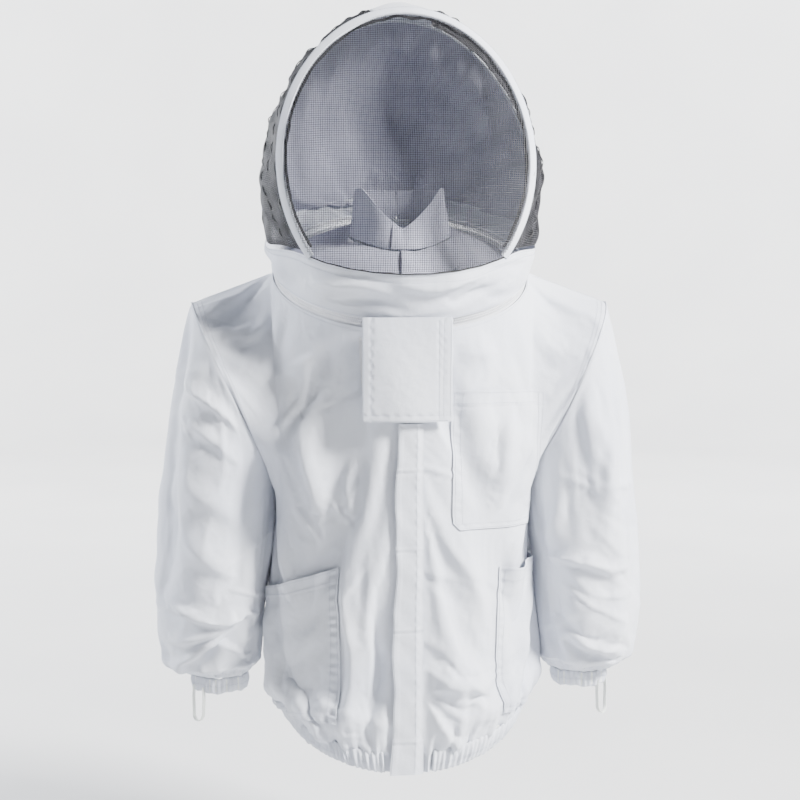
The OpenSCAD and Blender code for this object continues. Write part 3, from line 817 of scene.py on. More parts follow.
def moulded(name, dark, light, roughness, **constants):
    mat, tree, bsdf = shader(name, light, roughness, **constants)
    mottled(tree, bsdf, dark, light, 60)
    bumps(tree, bsdf, [(noise(tree, 900, 2), 0.15, 0.0001)])
    return mat


PLASTIC = moulded("moulded_teeth", (0.80, 0.81, 0.85), (0.88, 0.89, 0.92), 0.35)
ENAMEL = moulded("enamelled_zinc", (0.74, 0.75, 0.78), (0.86, 0.87, 0.89), 0.3, Coat_Weight=0.4)
STEEL = moulded("spring_steel", (0.42, 0.43, 0.45), (0.60, 0.61, 0.63), 0.35, Metallic=1.0)


def hook_and_loop():
    mat, tree, bsdf = shader("hook_and_loop", (0.82, 0.83, 0.86), 0.95, Sheen_Weight=0.4)
    mottled(tree, bsdf, (0.70, 0.71, 0.75), (0.86, 0.87, 0.90), 500)
    tufts = add(tree, "TexVoronoi", [("Vector", object_coordinates(tree))], scale=900)
    bumps(tree, bsdf, [(tufts.outputs["Distance"], 0.9, 0.0008),
                       (noise(tree, 2500, 3), 0.6, 0.0004)])
    return mat


HOOKS = hook_and_loop()


def finish_nodes(material, *nodes):
    """Gives CAD nodes, whose shapes stay, their material."""
    for name in nodes:
        mesh = frame["nodes"][name].data
        mesh.materials.clear()
        mesh.materials.append(material)


finish_nodes(TAPE, "main_tape_right", "main_tape_left", "neck_tape_jacket", "neck_tape_hood")
finish_nodes(HOOKS, "throat_loop_patch", "storm_loop_patches", "throat_hook_patch",
             "storm_hook_patches")
finish_nodes(ELASTIC, "hem_elastic", "cuff_elastic_right", "cuff_elastic_left")
finish_nodes(STEEL, "front_hoop_rod", "rear_hoop_rod")
finish_nodes(PLASTIC, "main_top_stops")


# ---- The body of the jacket ----

SIDES = (("right", -1), ("left", 1))
COLS, ROWS = 46, 104
CLOTH_T = 0.9
HEM_V = 0.957                           # where the panels run into the gathered hem
CENTRE = np.array([0, 0, -350.0])

u_cut, v_cut = shares(COLS + 1, ROWS + 1)
left = front(u_cut, v_cut)
right = mirrored(left)
u_rear, v_rear = np.meshgrid(np.linspace(-1, 1, 2 * COLS + 1), np.linspace(0, 1, ROWS + 1))
rear = back(u_rear, v_rear)


RIDGE_HEIGHT, RIDGE_WIDTH = 1.75, 0.8   # shares of what the ridge tables say
HEM_BLOUSE = 6                          # how far the body blouses out above the hem


def folded(p, way, ridges):
    """The surface with soft swells and the listed ridges (from, to, width, height)."""
    n = facing(p, CENTRE)
    v = share_down(p)
    lift = soft_waves(p, 1.6, (90, 140, 210)) * eased(v * 8)
    lift = lift + HEM_BLOUSE * bell(v, 0.89, 0.045)
    for a, b, width, height in ridges:
        lift = lift + RIDGE_HEIGHT * crease(p, n, way, a, b, width * RIDGE_WIDTH, height)
    return p + n * (lift * eased((1 - v) / 0.06))[..., None]


LEFT_RIDGES = [
    ((10, -262), (66, -266), 5, 2.5),
    ((40, -330), (112, -470), 26, 7),
    ((0, -556), (118, -548), 22, 10),
    ((70, -640), (30, -590), 14, 6),
    ((150, -190), (118, -300), 20, 6),
    ((165, -330), (140, -420), 16, 6),
    ((60, -120), (120, -100), 22, 5),
]
RIGHT_RIDGES = [
    ((-80, -262), (-80, -610), 17, 9),
    ((-38, -420), (-50, -620), 13, -7),
    ((-140, -200), (-120, -330), 24, 9),
    ((-172, -330), (-150, -430), 14, 7),
    ((-130, -150), (-165, -230), 12, -6),
    ((-110, -110), (-170, -130), 20, 5),
    ((-100, -640), (-150, -560), 12, 6),
]
BACK_RIDGES = [
    ((-120, -130), (-70, -300), 26, 8),
    ((130, -140), (60, -330), 26, 8),
    ((-60, -330), (-90, -600), 22, 8),
    ((70, -380), (110, -610), 22, 8),
    ((0, -300), (10, -620), 26, 6),
    ((-150, -430), (-40, -560), 18, 6),
    ((20, -520), (150, -450), 18, 6),
]
left = folded(left, -1, LEFT_RIDGES)
right = folded(right, -1, RIGHT_RIDGES)
rear = folded(rear, 1, BACK_RIDGES)


LIGHTLY = 0.05


def held(u, v, front_edge_held):
    """How firmly a panel's points stay: its edges are sewn, and the rest is lightly held."""
    hold = LIGHTLY + 0.9 * eased(1 - v * 60) + 0.9 * eased((v - 0.94) / 0.015)
    hold = hold + np.where((v < ARMHOLE_SHARE + 0.01) & (u > 0.99), 1, 0)
    if front_edge_held:
        hold = hold + 0.9 * eased(1 - (u - 0.02) / 0.08)
    return np.clip(hold, 0, 1)


right[:, -1] = mirrored(left[:, -1])    # the panels meet exactly along their seams
rear[:, -1], rear[:, 0] = left[:, -1], right[:, -1]
seam = int(RING_SHARE * COLS)
rear[0, COLS + seam:], rear[0, COLS - seam::-1] = left[0, seam:], right[0, seam:]

left, right, rear = drape(
    [left, right, rear],
    [held(u_cut, v_cut, True), held(u_cut, v_cut, True), held(np.abs(u_rear), v_rear, False)],
    [0.45 + 0.55 * eased((v - 0.6) * 3) for v in (v_cut, v_cut, v_rear)], 0.065)


def behind_flaps(p):
    """Keeps the front behind the storm flap and the throat flap."""
    places = ((-26, 24, -700, -60, FRONT_Y - 2.6), (-64, 60, -204, -60, FRONT_Y - 4.2))
    p = p.copy()
    for x0, x1, z0, z1, y in places:
        across = np.maximum(np.maximum(x0 - p[..., 0], p[..., 0] - x1), 0)
        down = np.maximum(np.maximum(z0 - p[..., 2], p[..., 2] - z1), 0)
        p[..., 1] = np.maximum(p[..., 1], y - 0.5 * np.hypot(across, down))
    return p


FRONT_CRUMPLES = [                      # count, x, z, length, height, lean, spread
    (9, (-165, -70), (-330, -120), (40, 110), 3.2, 62, 25),
    (8, (-150, -30), (-560, -330), (40, 120), 2.4, 80, 25),
    (9, (-150, -30), (-650, -540), (30, 90), 2.6, 15, 35),
    (6, (30, 160), (-300, -110), (40, 100), 2.2, -60, 30),
    (8, (25, 120), (-600, -380), (50, 130), 2.6, -35, 35),
    (8, (40, 160), (-650, -520), (30, 90), 2.6, 5, 35),
]
BACK_CRUMPLES = [(30, (-160, 160), (-620, -120), (50, 150), 5.2, 75, 40)]
SEAM_DIP, SEAM_HALF = 1.1, 1.6          # depth and half width of the dip along a seam
HEM_DIP = 3.4                           # depth of the panels' end inside the hem casing
TO_SIDE_SEAM = 290                      # length of cloth from the front edge to the side seam
GATHER_HEM, GATHER_CUFF = 2.6, 2.4      # heights of the gathers


def finished_panel(p, way, crumples):
    """The draped panel, made finer, with gathers above the hem and dips along its seams."""
    p = finer(p)
    n = facing(p, CENTRE)
    v = share_down(p)
    u = np.abs(np.linspace(0 if way < 0 else -1, 1, p.shape[1]))[None]
    away = np.maximum(HEM_V - v, 0) * BODY_LENGTH
    lift = gathers(arc_length(p)[-1:], away, GATHER_HEM) * eased((v - 0.02) * 20)
    lift = lift * eased(u * 12 if way < 0 else 1)
    lift = lift - SEAM_DIP * bell((1 - u) * TO_SIDE_SEAM, 0, SEAM_HALF)
    lift = lift - HEM_DIP * eased((v - HEM_V + 0.006) / 0.012)
    small = sum(crumple(p, n, way, *row) for row in crumples)
    return p + n * (lift + small * eased(v * 20) * eased((0.95 - v) * 25))[..., None]


left = behind_flaps(finished_panel(left, -1, FRONT_CRUMPLES))
right = behind_flaps(finished_panel(right, -1, FRONT_CRUMPLES))
rear = finished_panel(rear, 1, BACK_CRUMPLES)
left_n, right_n, rear_n = facing(left, CENTRE), facing(right, CENTRE), facing(rear, CENTRE)
for name, p, n, node in (("front_cloth_left", left, left_n, "front_panel_left"),
                         ("front_cloth_right", right, right_n, "front_panel_right"),
                         ("back_cloth", rear, rear_n, "back_panel")):
    sheet_piece(name, p, n, CLOTH_T, COTTON, "jacket", node)
for p, n in ((left, left_n), (right, right_n)):
    sew("jacket", p, n, (0.02, 0.66), 0.009)
    sew("jacket", p, n, (0.72, 0.99), 0.008)
    for edge in (0.978, 0.962):
        sew("jacket", p, n, edge, (0.02, 0.43))
    sew("jacket", p, n, 0.984, (0.46, 0.94), 400)
sew("jacket", rear, rear_n, (0.2, 0.8), 0.009)
for edge in (0.011, 0.989):
    sew("jacket", rear, rear_n, edge, (0.02, 0.43))


# ---- Gathered casings at the hem and the cuffs ----

def puffed_ring(middle, down, out, height, thick, ripple, sides):
    """Rings round a gathered casing: middle is its centre line, down and out its directions."""
    turn = 360 * np.arange(sides) / sides
    drop = -cosd(turn) * height / 2
    full = sind(turn)
    off = thick * np.sign(full) * np.abs(full) ** 0.7
    off = off[None] + ripple[:, None] * np.where(full > 0, 1, 0.5) * np.abs(full)
    pinch = 1 - 0.35 * bell(drop / height, 0.28, 0.06)
    return (middle[:, None] + drop[None, :, None] * down[:, None]
            + (off * pinch)[..., None] * out[:, None])


STITCHED = 4                            # the point of a casing's ring that carries the stitches
STITCH_LIFT = 0.2


def casing_piece(name, rings, out, along, place, node, closed=False):
    verts, faces = tube_mesh(rings, closed)
    uv = ring_uv(along, np.arange(rings.shape[1]) * 4.0)
    new_piece(name, verts, faces, COTTON, place, node, uv)
    sew_path(place, rings[:, STITCHED] + out * STITCH_LIFT, out)


def hem_casing(name, surface, u, node=None):
    spread = np.linspace(*u, int(190 * abs(u[1] - u[0])))
    zero = np.zeros_like(spread)
    high, low = surface(spread, zero + HEM_V - 0.004), surface(spread, zero + 1)
    p = np.stack([high, (high + low) / 2, low])
    n = facing(p, CENTRE)[1]
    along = arc_length(p)[1]
    ripple = 1.5 * sind(360 * along / 7.3 + 80 * sind(360 * along / 61)) + 1.0 * sind(
        360 * along / 11.9 + 90 * sind(360 * along / 83))
    height = np.linalg.norm(low - high, axis=1).mean()
    rings = puffed_ring(p[1] - n * 0.6, unit(low - high), n, height, 3.0, ripple, 14)
    rings[..., 2] += (0.8 * sind(360 * along / 8.1 + 50 * sind(360 * along / 47)))[:, None]
    casing_piece(name, rings, n, along, "jacket", node)


hem_casing("hem_casing_left", front, (0.10, 1), "hem_facing")
hem_casing("hem_casing_right", lambda u, v: mirrored(front(u, v)), (0.10, 1))
hem_casing("hem_casing_back", back, (-1, 1))


def cuff_casing(side, way):
    turn = np.linspace(0, 360, 181)[:-1]
    out = points(cosd(turn), sind(turn), 0)
    down = np.broadcast_to([0, 0, -1.0], out.shape)
    phase = rng.uniform(0, 360)
    ripple = 1.7 * sind(turn * 27 + 70 * sind(turn * 4) + phase) + sind(
        turn * 17 + 60 * sind(turn * 3))
    middle = CUFF_AT * [way, 1, 1] + out * (CUFF_R + 2.6) + [0, 0, -11.0]
    middle[:, 2] += 1.1 * sind(turn * 5 + phase) + 0.7 * sind(turn * 13)
    rings = puffed_ring(middle, down, out, CUFF_HIGH - CUFF_LOW, 2.6, ripple, 16)
    casing_piece(f"cuff_casing_{side}", rings, out, turn * 0.65, f"sleeve_{side}",
                 f"cuff_{side}", True)


for side, way in SIDES:
    cuff_casing(side, way)


# ---- Sleeves ----

TURNS, STEPS = 76, 96
SLEEVE_REACH = 80                       # over this length the sleeve bends at the shoulder
LEFT_SLEEVE_RIDGES = [
    ((205, -398), (322, -404), 9, 9),
    ((222, -130), (282, -300), 20, 7),
    ((300, -190), (262, -360), 18, 7),
    ((215, -480), (290, -436), 14, 8),
    ((300, -528), (232, -500), 11, 9),
    ((325, -480), (270, -520), 12, 8),
    ((215, -300), (205, -380), 12, 6),
]
RIGHT_SLEEVE_RIDGES = [
    ((-300, -140), (-222, -212), 10, 9),
    ((-306, -190), (-236, -250), 12, 7),
    ((-322, -280), (-215, -330), 24, 7),
    ((-330, -450), (-205, -478), 9, 11),
    ((-318, -500), (-240, -470), 11, 9),
    ((-312, -536), (-250, -490), 10, 9),
    ((-210, -535), (-262, -500), 10, 8),
    ((-300, -360), (-225, -420), 20, 7),
]
SLEEVE_CRUMPLES = [                     # count, z, length, height, lean
    (7, (-260, -110), (40, 110), 3.0, 48),
    (7, (-420, -230), (40, 120), 2.8, 62),
    (9, (-545, -400), (40, 110), 3.4, 12),
]
SLEEVE_LENGTH = 400                     # rough, for its gathers and its seam
SLEEVE_X = (200, 335)                   # the sleeve spans this from the centre
SLEEVE_FULL = 5                         # how much fuller it is half way down
SLEEVE_RIDGE_HEIGHT = 1.4


def sleeve_facing(p):
    return facing(p, p.mean(axis=1, keepdims=True), True)


def make_sleeve(side, way, ridges):
    u, v = closed_shares(TURNS, STEPS + 1)
    p = sleeve(u, v) * [way, 1, 1]
    n = sleeve_facing(p)
    lift = soft_waves(p, 2.2, (60, 90, 140)) + SLEEVE_FULL * sind(180 * v)
    for a, b, width, height in ridges:
        lift = lift + SLEEVE_RIDGE_HEIGHT * crease(p, n, -1, a, b, width, height)
        behind = [a[0], a[1] + 40], [b[0], b[1] - 25]
        lift = lift + crease(p, n, 1, *behind, width * 1.3, height * 0.8)
    p = p + n * (lift * eased(v * 14) * eased((1 - v) * 12))[..., None]
    hold = np.clip(0.08 + eased(1 - v * 60) + eased((v - 0.975) / 0.015), 0, 1)
    p = drape([p], [hold], [0.4 + 0.6 * eased((v - 0.35) * 2)], 0.07, True)[0]
    p = finer(p, True)
    n = sleeve_facing(p)
    v = share_down(p)
    round_cuff = np.linspace(0, 2 * math.pi * (CUFF_R + 5), p.shape[1] + 1)[None, :-1]
    lift = gathers(round_cuff, (1 - v) * SLEEVE_LENGTH, GATHER_CUFF, (8.2, 12.3, 20.4, 35))
    lift = lift * eased((1 - v) * 60) - SEAM_DIP * bell(v * SLEEVE_LENGTH, 0, SEAM_HALF)
    x = np.sort(way * np.array(SLEEVE_X))
    small = sum(crumple(p, n, face, count, x, z, length, height, -way * lean, 22)
                for face in (-1, 1) for count, z, length, height, lean in SLEEVE_CRUMPLES)
    p = p + n * (lift + small * eased(v * 12) * eased((0.97 - v) * 20))[..., None]
    normal = np.array([way * abs(ARMHOLE_HALF[2]), 0, -abs(ARMHOLE_HALF[0])])
    start = ARMHOLE_AT * [way, 1, 1]
    end = start + SLEEVE_REACH * unit(normal)
    place = ("jacket", f"sleeve_{side}", tuple(start * MM), tuple(end * MM))
    sheet_piece(f"sleeve_cloth_{side}", p, sleeve_facing(p), CLOTH_T, COTTON, place,
                f"sleeve_{side}", True)


make_sleeve("right", -1, RIGHT_SLEEVE_RIDGES)
make_sleeve("left", 1, LEFT_SLEEVE_RIDGES)


# ---- Pockets ----

POCKET_W = 110                          # a pocket's width, for its seams
TURNED = 5                              # middle of the turned edge, from the pocket's edge


def pocket(node, p, n, x, outer_u, z, slant, depth, cut=0, pucker=0.5):
    """A patch pocket on a draped front, open at the top. x is its inner edge."""
    a, b = shares(91, 91)
    tall = z[1] - z[0]
    inner = x + cut * np.clip(1 + (b - 1) * tall / max(cut, 1), 0, 1)
    height = lerp(z[1] - slant * a, z[0], b)
    u = lerp(find_u(inner, height), lerp(outer_u[0], outer_u[1], b), a)
    v = find_v(u, height)
    base, up = sample(p, u, v), unit(sample(n, u, v))
    edge = np.minimum(np.minimum(a, 1 - a), 1 - b)
    across, above, below = a * POCKET_W, (1 - b) * tall, b * tall
    rise = 2.3 + depth * eased(edge * 5) * (0.45 + 0.55 * (1 - b) ** 0.7)
    seam = np.clip(bell(across, TURNED, 3.5) + bell(above, TURNED, 3.5), 0, 1)
    along = np.where(across < above, below, across)
    rise = rise + pucker * seam * sind(360 * along / 13 + 60 * sind(along * 5))
    rise = rise + 0.7 * bell(below, 19, 1.5) - 0.5 * bell(below, 21, 1.5)
    rise = rise + soft_waves(base, 0.5 + depth * 0.12, (45, 70)) * eased(edge * 6)
    q = base + up * np.maximum(rise, 1.6)[..., None]
    qn = facing(q, CENTRE)
    sheet_piece(node.replace("pocket", "pocket_cloth"), q, qn, CLOTH_T, COTTON, "jacket", node)
    for inset in (2, 8):
        sew("jacket", q, qn, inset / POCKET_W, (0.01, 0.985))
        sew("jacket", q, qn, (0.02, 0.98), 1 - inset / tall)
        sew("jacket", q, qn, 1 - inset / POCKET_W, (0.01, 0.985))
    for inset in (17, 3):
        sew("jacket", q, qn, (0.02, 0.98), inset / tall)


pocket("chest_pocket", left, left_n, 60, (0.78, 0.9), (-344, -156), 6, 3.5, cut=10, pucker=0.3)
pocket("hip_pocket_right", right, right_n, 92, (0.95, 0.95), (-600, -392), 56, 6.5, pucker=1.1)
pocket("hip_pocket_left", left, left_n, 132, (0.95, 0.95), (-600, -398), 0, 6.0)


# ---- Flaps over the zips ----

STORM_Y = FRONT_Y - 5.9                 # outer face of the storm flap
STORM_SEAM_X = box_mm("storm_flap")[1][0]
FLAP_TOP = box_mm("storm_flap")[1][2]
THROAT_Y = FRONT_Y - 11                 # inner face of the throat flap at the centre
THROAT_R = 300


def edge_fold(distance):
    """The rounded edge and the ridge of a turned hem."""
    return -1.0 * np.exp(-distance / 1.2) + 0.35 * eased(1 - (distance - 7) / 0.9)


def storm_strip(name, z, place, node, creases):
    """Part of the strip that covers the main zip, creased across where it was folded."""
    a, b = shares(29, 1 + int((z[1] - z[0]) / 2.2))
    height = lerp(z[1], z[0], b)
    drift = (-82 - height) / 606
    free = lerp(-12.5, -23.5, drift) - 1.6 * sind(drift * 1150 + 40) + 0.6 * sind(drift * 2900)
    x = lerp(free, STORM_SEAM_X, a)
    lift = edge_fold(a * 38) * 0.8
    for at, size in creases:
        off = (height - at) / 2.6
        lift = lift + size * off * np.exp(-off**2) * 1.6 * (1 - 0.4 * a)
    lift = lift + (1 - a) ** 2 * (1.3 + 1.2 * sind(height * 1.9) + 0.8 * sind(height * 5.3))
    lift = lift + 0.5 * bell(x, 11, 2) * sind(height * 25 + 50 * sind(height * 3))
    lift = lift + 0.25 * sind(height * 8 + x * 9) - 3.2 * eased((a - 0.72) / 0.28)
    q = points(x, STORM_Y - np.maximum(lift, -3.6), height)
    n = facing(q, np.array([0, 0, -400.0]))
    sheet_piece(name, q, n, 1.3, COTTON, place, node)
    for share in (0.055, 0.74):
        sew(place, q, n, share, (0.004, 0.996), 600)


STRIP_CREASES = [(-263, 1.6), (-368, 1.3), (-476, 1.5), (-628, 1.2)]    # height, size
storm_strip("storm_flap_cloth", (HEM_Z[0] - 1, FLAP_TOP), "storm_flap", "storm_flap",
            STRIP_CREASES)
storm_strip("placket_top_cloth", (FLAP_TOP + 2.5, -82), "jacket", "placket_top", [])


def throat_flap():
    low, high = box_mm("throat_flap")
    a, b = shares(77, 87)
    x, height = lerp(low[0], high[0], a), lerp(high[2], low[2], b)
    wide, tall = high[0] - low[0], high[2] - low[2]
    corner = 2.5
    x = x + lerp(1, -1, a) * corner * np.clip((b * tall - tall + corner) / corner, 0, 1) ** 2
    across, above = a * wide, (1 - b) * tall
    lift = 0.6 * eased(np.minimum(np.minimum(across, (1 - a) * wide), above) / 1.5)
    for seam, pucker in ((bell(across, wide - 11, 2.2), height * 27 + (wide - 11) * 40),
                         (bell(across, wide - 17, 2.2), height * 27 + (wide - 17) * 40),
                         (bell(across, 12, 2.2), height * 24), (bell(above, 9, 2.2), x * 25)):
        lift = lift + 0.5 * seam * (-1 + 0.8 * sind(pucker))
    lift = lift + 1.5 * eased(b) * bell(a, 0.5, 0.3) + 1.1 * sind(x * 3.1 + height * 1.3)
    lift = lift + 2.0 * eased(1 - a * 4) * eased(b * 1.6 - 0.6)
    turn = np.degrees(np.arcsin(x / THROAT_R))
    r = THROAT_R + 1.6 + np.maximum(lift + 0.6, 0)
    q = points(r * sind(turn), THROAT_Y + THROAT_R - r * cosd(turn), height)
    n = facing(q, np.array([0, 100, -130.0]))
    sheet_piece("throat_flap_cloth", q, n, 1.6, COTTON, "throat_flap", "throat_flap")
    for share in (1 - 11 / wide, 1 - 17 / wide, 12 / wide):
        sew("throat_flap", q, n, share, (0.01, 0.99))
    for share in (1 - 2 / wide, 2 / wide):
        sew("throat_flap", q, n, share, (0.01, 0.97))
    for inset in (2, 9):
        sew("throat_flap", q, n, (0.03, 0.97), 1 - inset / tall)


throat_flap()


# ---- Zips ----

TOOTH_PITCH = 2.7
TOOTH_OFF = 2.0                         # from the middle of the zip to the middle of a tooth
NECK_TEETH_A = (3.2, 357)               # the neck zip's angles at its ends, from the front
tooth = rounded_bar(3.7, 1.7, 3.2)


def zip_teeth(name, frames, place, node):
    verts, faces = copies(tooth, frames)
    new_piece(name, verts, faces, PLASTIC, place, node)


for side, way in SIDES:
    low, high = box_mm(f"main_teeth_{side}")
    z = np.arange(low[2] + 1 + (TOOTH_PITCH / 2 if way > 0 else 0), high[2] - 0.8, TOOTH_PITCH)
    at = points(way * TOOTH_OFF, (low[1] + high[1]) / 2 + 1.6, z)
    axes = [np.broadcast_to(axis, at.shape) for axis in ([way, 0, 0], [0, 0, way], [0, -1, 0])]
    zip_teeth(f"main_zip_teeth_{side}", np.stack([at, *axes], 1), "jacket", f"main_teeth_{side}")

for half, way in (("jacket", -1), ("hood", 1)):
    step = math.degrees(TOOTH_PITCH / RING_R)
    a = np.arange(NECK_TEETH_A[0] + (step / 2 if way > 0 else 0), NECK_TEETH_A[1], step)
    at = on_ring(a, RING_R - 1.6, way * TOOTH_OFF)
    out = on_ring(a, 1, 0)
    axis = np.broadcast_to(on_ring(0, 0, way), at.shape)
    zip_teeth(f"neck_zip_teeth_{half}", np.stack([at, axis, np.cross(out, axis), out], 1), half,
              f"neck_teeth_{half}")


def softened(node, place, material=ENAMEL, width=0.25):
    """A cast or moulded part of the frame, with the rounded edges that casting leaves."""
    obj = linked(f"{node}_cast", frame["nodes"][node].data.copy())
    obj.data.materials.clear()
    obj.data.materials.append(material)
    merge = obj.modifiers.new("merge", "WELD")
    merge.merge_threshold = 1e-6
    bevel = obj.modifiers.new("bevel", "BEVEL")
    bevel.width, bevel.segments, bevel.limit_method = width * MM, 2, "ANGLE"
    bevel.angle_limit = math.radians(35)
    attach(obj, place)
    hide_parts(node)


softened("main_slider", "main_slider")
softened("main_pull", "main_slider")
for side, way in SIDES:
    softened(f"neck_slider_{side}", f"neck_slider_{side}")
    softened(f"neck_pull_{side}", f"neck_slider_{side}")
softened("main_box", "jacket", PLASTIC, 0.4)
softened("main_pin", "jacket", PLASTIC, 0.3)


# ---- Loops of tape ----

def flat_section(width, thick, sides=12, square=0.4, edge=0.8):
    """The section of a flat tape: square and edge say how full its sides and faces are."""
    turn = np.radians(360 / sides * np.arange(sides))
    x, y = np.cos(turn), np.sin(turn)
    return np.stack([width / 2 * np.sign(x) * np.abs(x) ** square,
                     thick / 2 * np.sign(y) * np.abs(y) ** edge], -1)


def tape_loop(name, path, up, width, thick, material, place, node):
    """A loop of tape whose flat faces look away from its middle."""
    section = flat_section(width, thick)
    verts, faces = tube_mesh(sweep(path, -unit(up), section))
    new_piece(name, verts, faces, material, place, node,
              ring_uv(arc_length(path, 0), section[:, 0]))


ROUND = np.linspace(0, 180, 25)         # the round end of a loop
THUMB_HALF, THUMB_DROP, THUMB_TURN = 10.6, 41.4, math.radians(40)


def thumb_loop(side, way):
    x = np.r_[-THUMB_HALF, -THUMB_HALF - 1.4, -THUMB_HALF * cosd(ROUND), THUMB_HALF + 1.4,
              THUMB_HALF]
    z = np.r_[8, -9, -(THUMB_DROP - THUMB_HALF) - THUMB_HALF * sind(ROUND), -9, 8]
    lean = 2.5 * sind(np.linspace(0, 180, len(x)))
    out = np.array([math.cos(THUMB_TURN), -math.sin(THUMB_TURN), 0])
    beside = np.array([math.sin(THUMB_TURN), math.cos(THUMB_TURN), 0])
    path = CUFF_AT - [0, 0, CUFF_HIGH - CUFF_LOW] + x[:, None] * beside + (
        37 + lean)[:, None] * out + np.outer(z, [0, 0, 1])
    path, out = path * [way, 1, 1], out * [way, 1, 1]
    up = path.mean(0) - path
    up -= (up @ out)[:, None] * out
    tape_loop(f"thumb_loop_tape_{side}", path, up, 5.5, 1.1, ELASTIC, f"sleeve_{side}",
              f"thumb_loop_{side}")


for side, way in SIDES:
    thumb_loop(side, way)


def hanger_loop():
    low, high = box_mm("hanger_loop")
    half, reach = (high[0] - low[0]) / 2 - 0.8, high[1] - low[1]
    x = np.r_[-half, -half * cosd(ROUND), half]
    y = np.r_[high[1], high[1] - (reach - half) - (half - 0.6) * sind(ROUND), high[1]]
    path = points(x, y, (low[2] + high[2]) / 2)
    up = np.array([0, high[1] - 6, path[0, 2]]) - path
    tape_loop("hanger_loop_tape", path, up, high[2] - low[2], 1.5, COTTON, "jacket",
              "hanger_loop")


hanger_loop()


# ---- Inside the neck circle ----

YOKE_CENTRE = np.array([0, 0, -200.0])
COLLAR_CENTRE = np.array([0, COLLAR_Y, 60.0])


def inner_neck(side, way):
    p = grid(yoke, (-0.02 if way > 0 else 0, 1), (0, 0.985), 100, 26) * [way, 1, 1]
    n = facing(p, YOKE_CENTRE)
    lift = soft_waves(p, 1.6, (50, 80)) * eased(share_down(p) * 6)
    if way > 0:                         # the left side laps over the right one
        lift = lift + 1.8 * eased(1 - np.linspace(0, 1, 101) * 12)
    sheet_piece(f"inner_yoke_cloth_{side}", p + n * lift[..., None], n, CLOTH_T, SHADED_COTTON, "jacket",
                f"inner_yoke_{side}")
    a, v = np.meshgrid(np.linspace(-13 if way > 0 else 1.5, 179.6, 90), np.linspace(0.02, 1, 20))
    p = collar(a, v) * [way, 1, 1]
    n = facing(p, COLLAR_CENTRE)
    over = 2.6 * eased(1 - (a - 10) / 14) if way > 0 else 0 * a
    p = p + n * (over + soft_waves(p, 0.8, (35, 60)))[..., None]
    n = facing(p, COLLAR_CENTRE)
    sheet_piece(f"collar_cloth_{side}", p, n, 1.5, SHADED_COTTON, "jacket", f"collar_{side}")
    for share in (0.93, 0.06):
        sew("jacket", p, n, (0.01, 0.99), share)
    sew("jacket", p, n, 0.025, (0.08, 0.92))


for side, way in SIDES:
    inner_neck(side, way)


# ---- The hood ----

HOOD_CENTRE = np.array([0, 10, 130.0])
BAND_CENTRE = np.array([0, 0, 30.0])
BAND_RIDGES = [
    ((20, -24), (100, -10), 9, 8),
    ((60, -48), (130, -16), 10, -5),
    ((-120, -6), (-30, -34), 10, 6),
    ((-90, -38), (-10, -52), 9, -4),
    ((-30, -20), (30, -18), 11, 4),
    ((100, 0), (160, 20), 9, 6),
]


def hood_band():
    u, v = closed_shares(190, 15)
    p = band(u, v)
    n = facing(p, BAND_CENTRE, True)
    lift = soft_waves(p, 1.8, (45, 75))
    for ridge in BAND_RIDGES:
        lift = lift + crease(p, n, -1, *ridge)
    lift = 1.3 * lift + 2.5 * sind(180 * v)
    for way in (-1, 1):
        lift = lift + crumple(p, n, way, 16, (-130, 130), (-60, 60), (40, 100), 3.0, 0, 22)
    p = p + n * (lift * sind(180 * v) ** 0.6)[..., None]
    hold = np.clip(0.03 + eased(1 - v * 16) + eased((v - 0.93) * 14), 0, 1)
    slack = 0.3 + 0.7 * eased(np.abs(cosd(180 * u)) * 2)
    p = finer(drape([p], [hold], [slack], 0.09, True, stiff=3)[0], True)
    dip = 0.9 * bell(share_down(p), 0.86, 0.02)
    p = p + facing(p, BAND_CENTRE, True) * -dip[..., None]
    n = facing(p, BAND_CENTRE, True)
    sheet_piece("hood_band_cloth", p, n, CLOTH_T, COTTON, "hood", "hood_band", True)
    for share in (0.04, 0.84, 0.965):
        sew("hood", closing(p), closing(n), (0, 1), share, 900)


hood_band()


def hoop_casing(name, curve, end, section, facing_way, node):
    a = np.linspace(-end - 2, end + 2, 181)
    path = curve(a)
    out = unit(path * [1, 0, 1] - [0, 0, 120]) * facing_way[0] + [0, -facing_way[1], 0]
    width = 1 + 0.03 * sind(a * 9 + 40 * sind(a * 2)) + 0.02 * sind(a * 23)
    rings = sweep(path, out, section)
    rings = path[:, None] + (rings - path[:, None]) * width[:, None, None]
    verts, faces = tube_mesh(rings)
    new_piece(name, verts, faces, COTTON, "hood", node,
              ring_uv(arc_length(path, 0), section[:, 0]))
    for side in (0.86, -0.86):
        edge = np.array([[section[:, 0].max() * side, section[:, 1].max() * 0.86]])
        sew_path("hood", sweep(path, out, edge)[:, 0], out)


hoop_casing("front_hoop_cloth", front_hoop, FRONT_END, flat_section(12, 5.4, 20, 0.45, 0.7),
            (0.55, 0.8), "front_hoop_casing")
hoop_casing("rear_hoop_cloth", rear_hoop, REAR_END, flat_section(10, 5.2, 20, 0.45, 0.7), (1, 0),
            "rear_hoop_casing")


def crown_cloth():
    p = grid(crown, (0, 1), (0, 1), 50, 40)
    lift = soft_waves(p, 1.2, (40, 70)) + 2.2 * sind(180 * share_down(p))
    p = p + facing(p, HOOD_CENTRE) * lift[..., None]
    n = facing(p, HOOD_CENTRE)
    sheet_piece("crown_cloth", p, n, 1.0, COTTON, "hood", "crown_panel")
    for share in (0.05, 0.95):
        sew("hood", p, n, (0.02, 0.98), share)


crown_cloth()


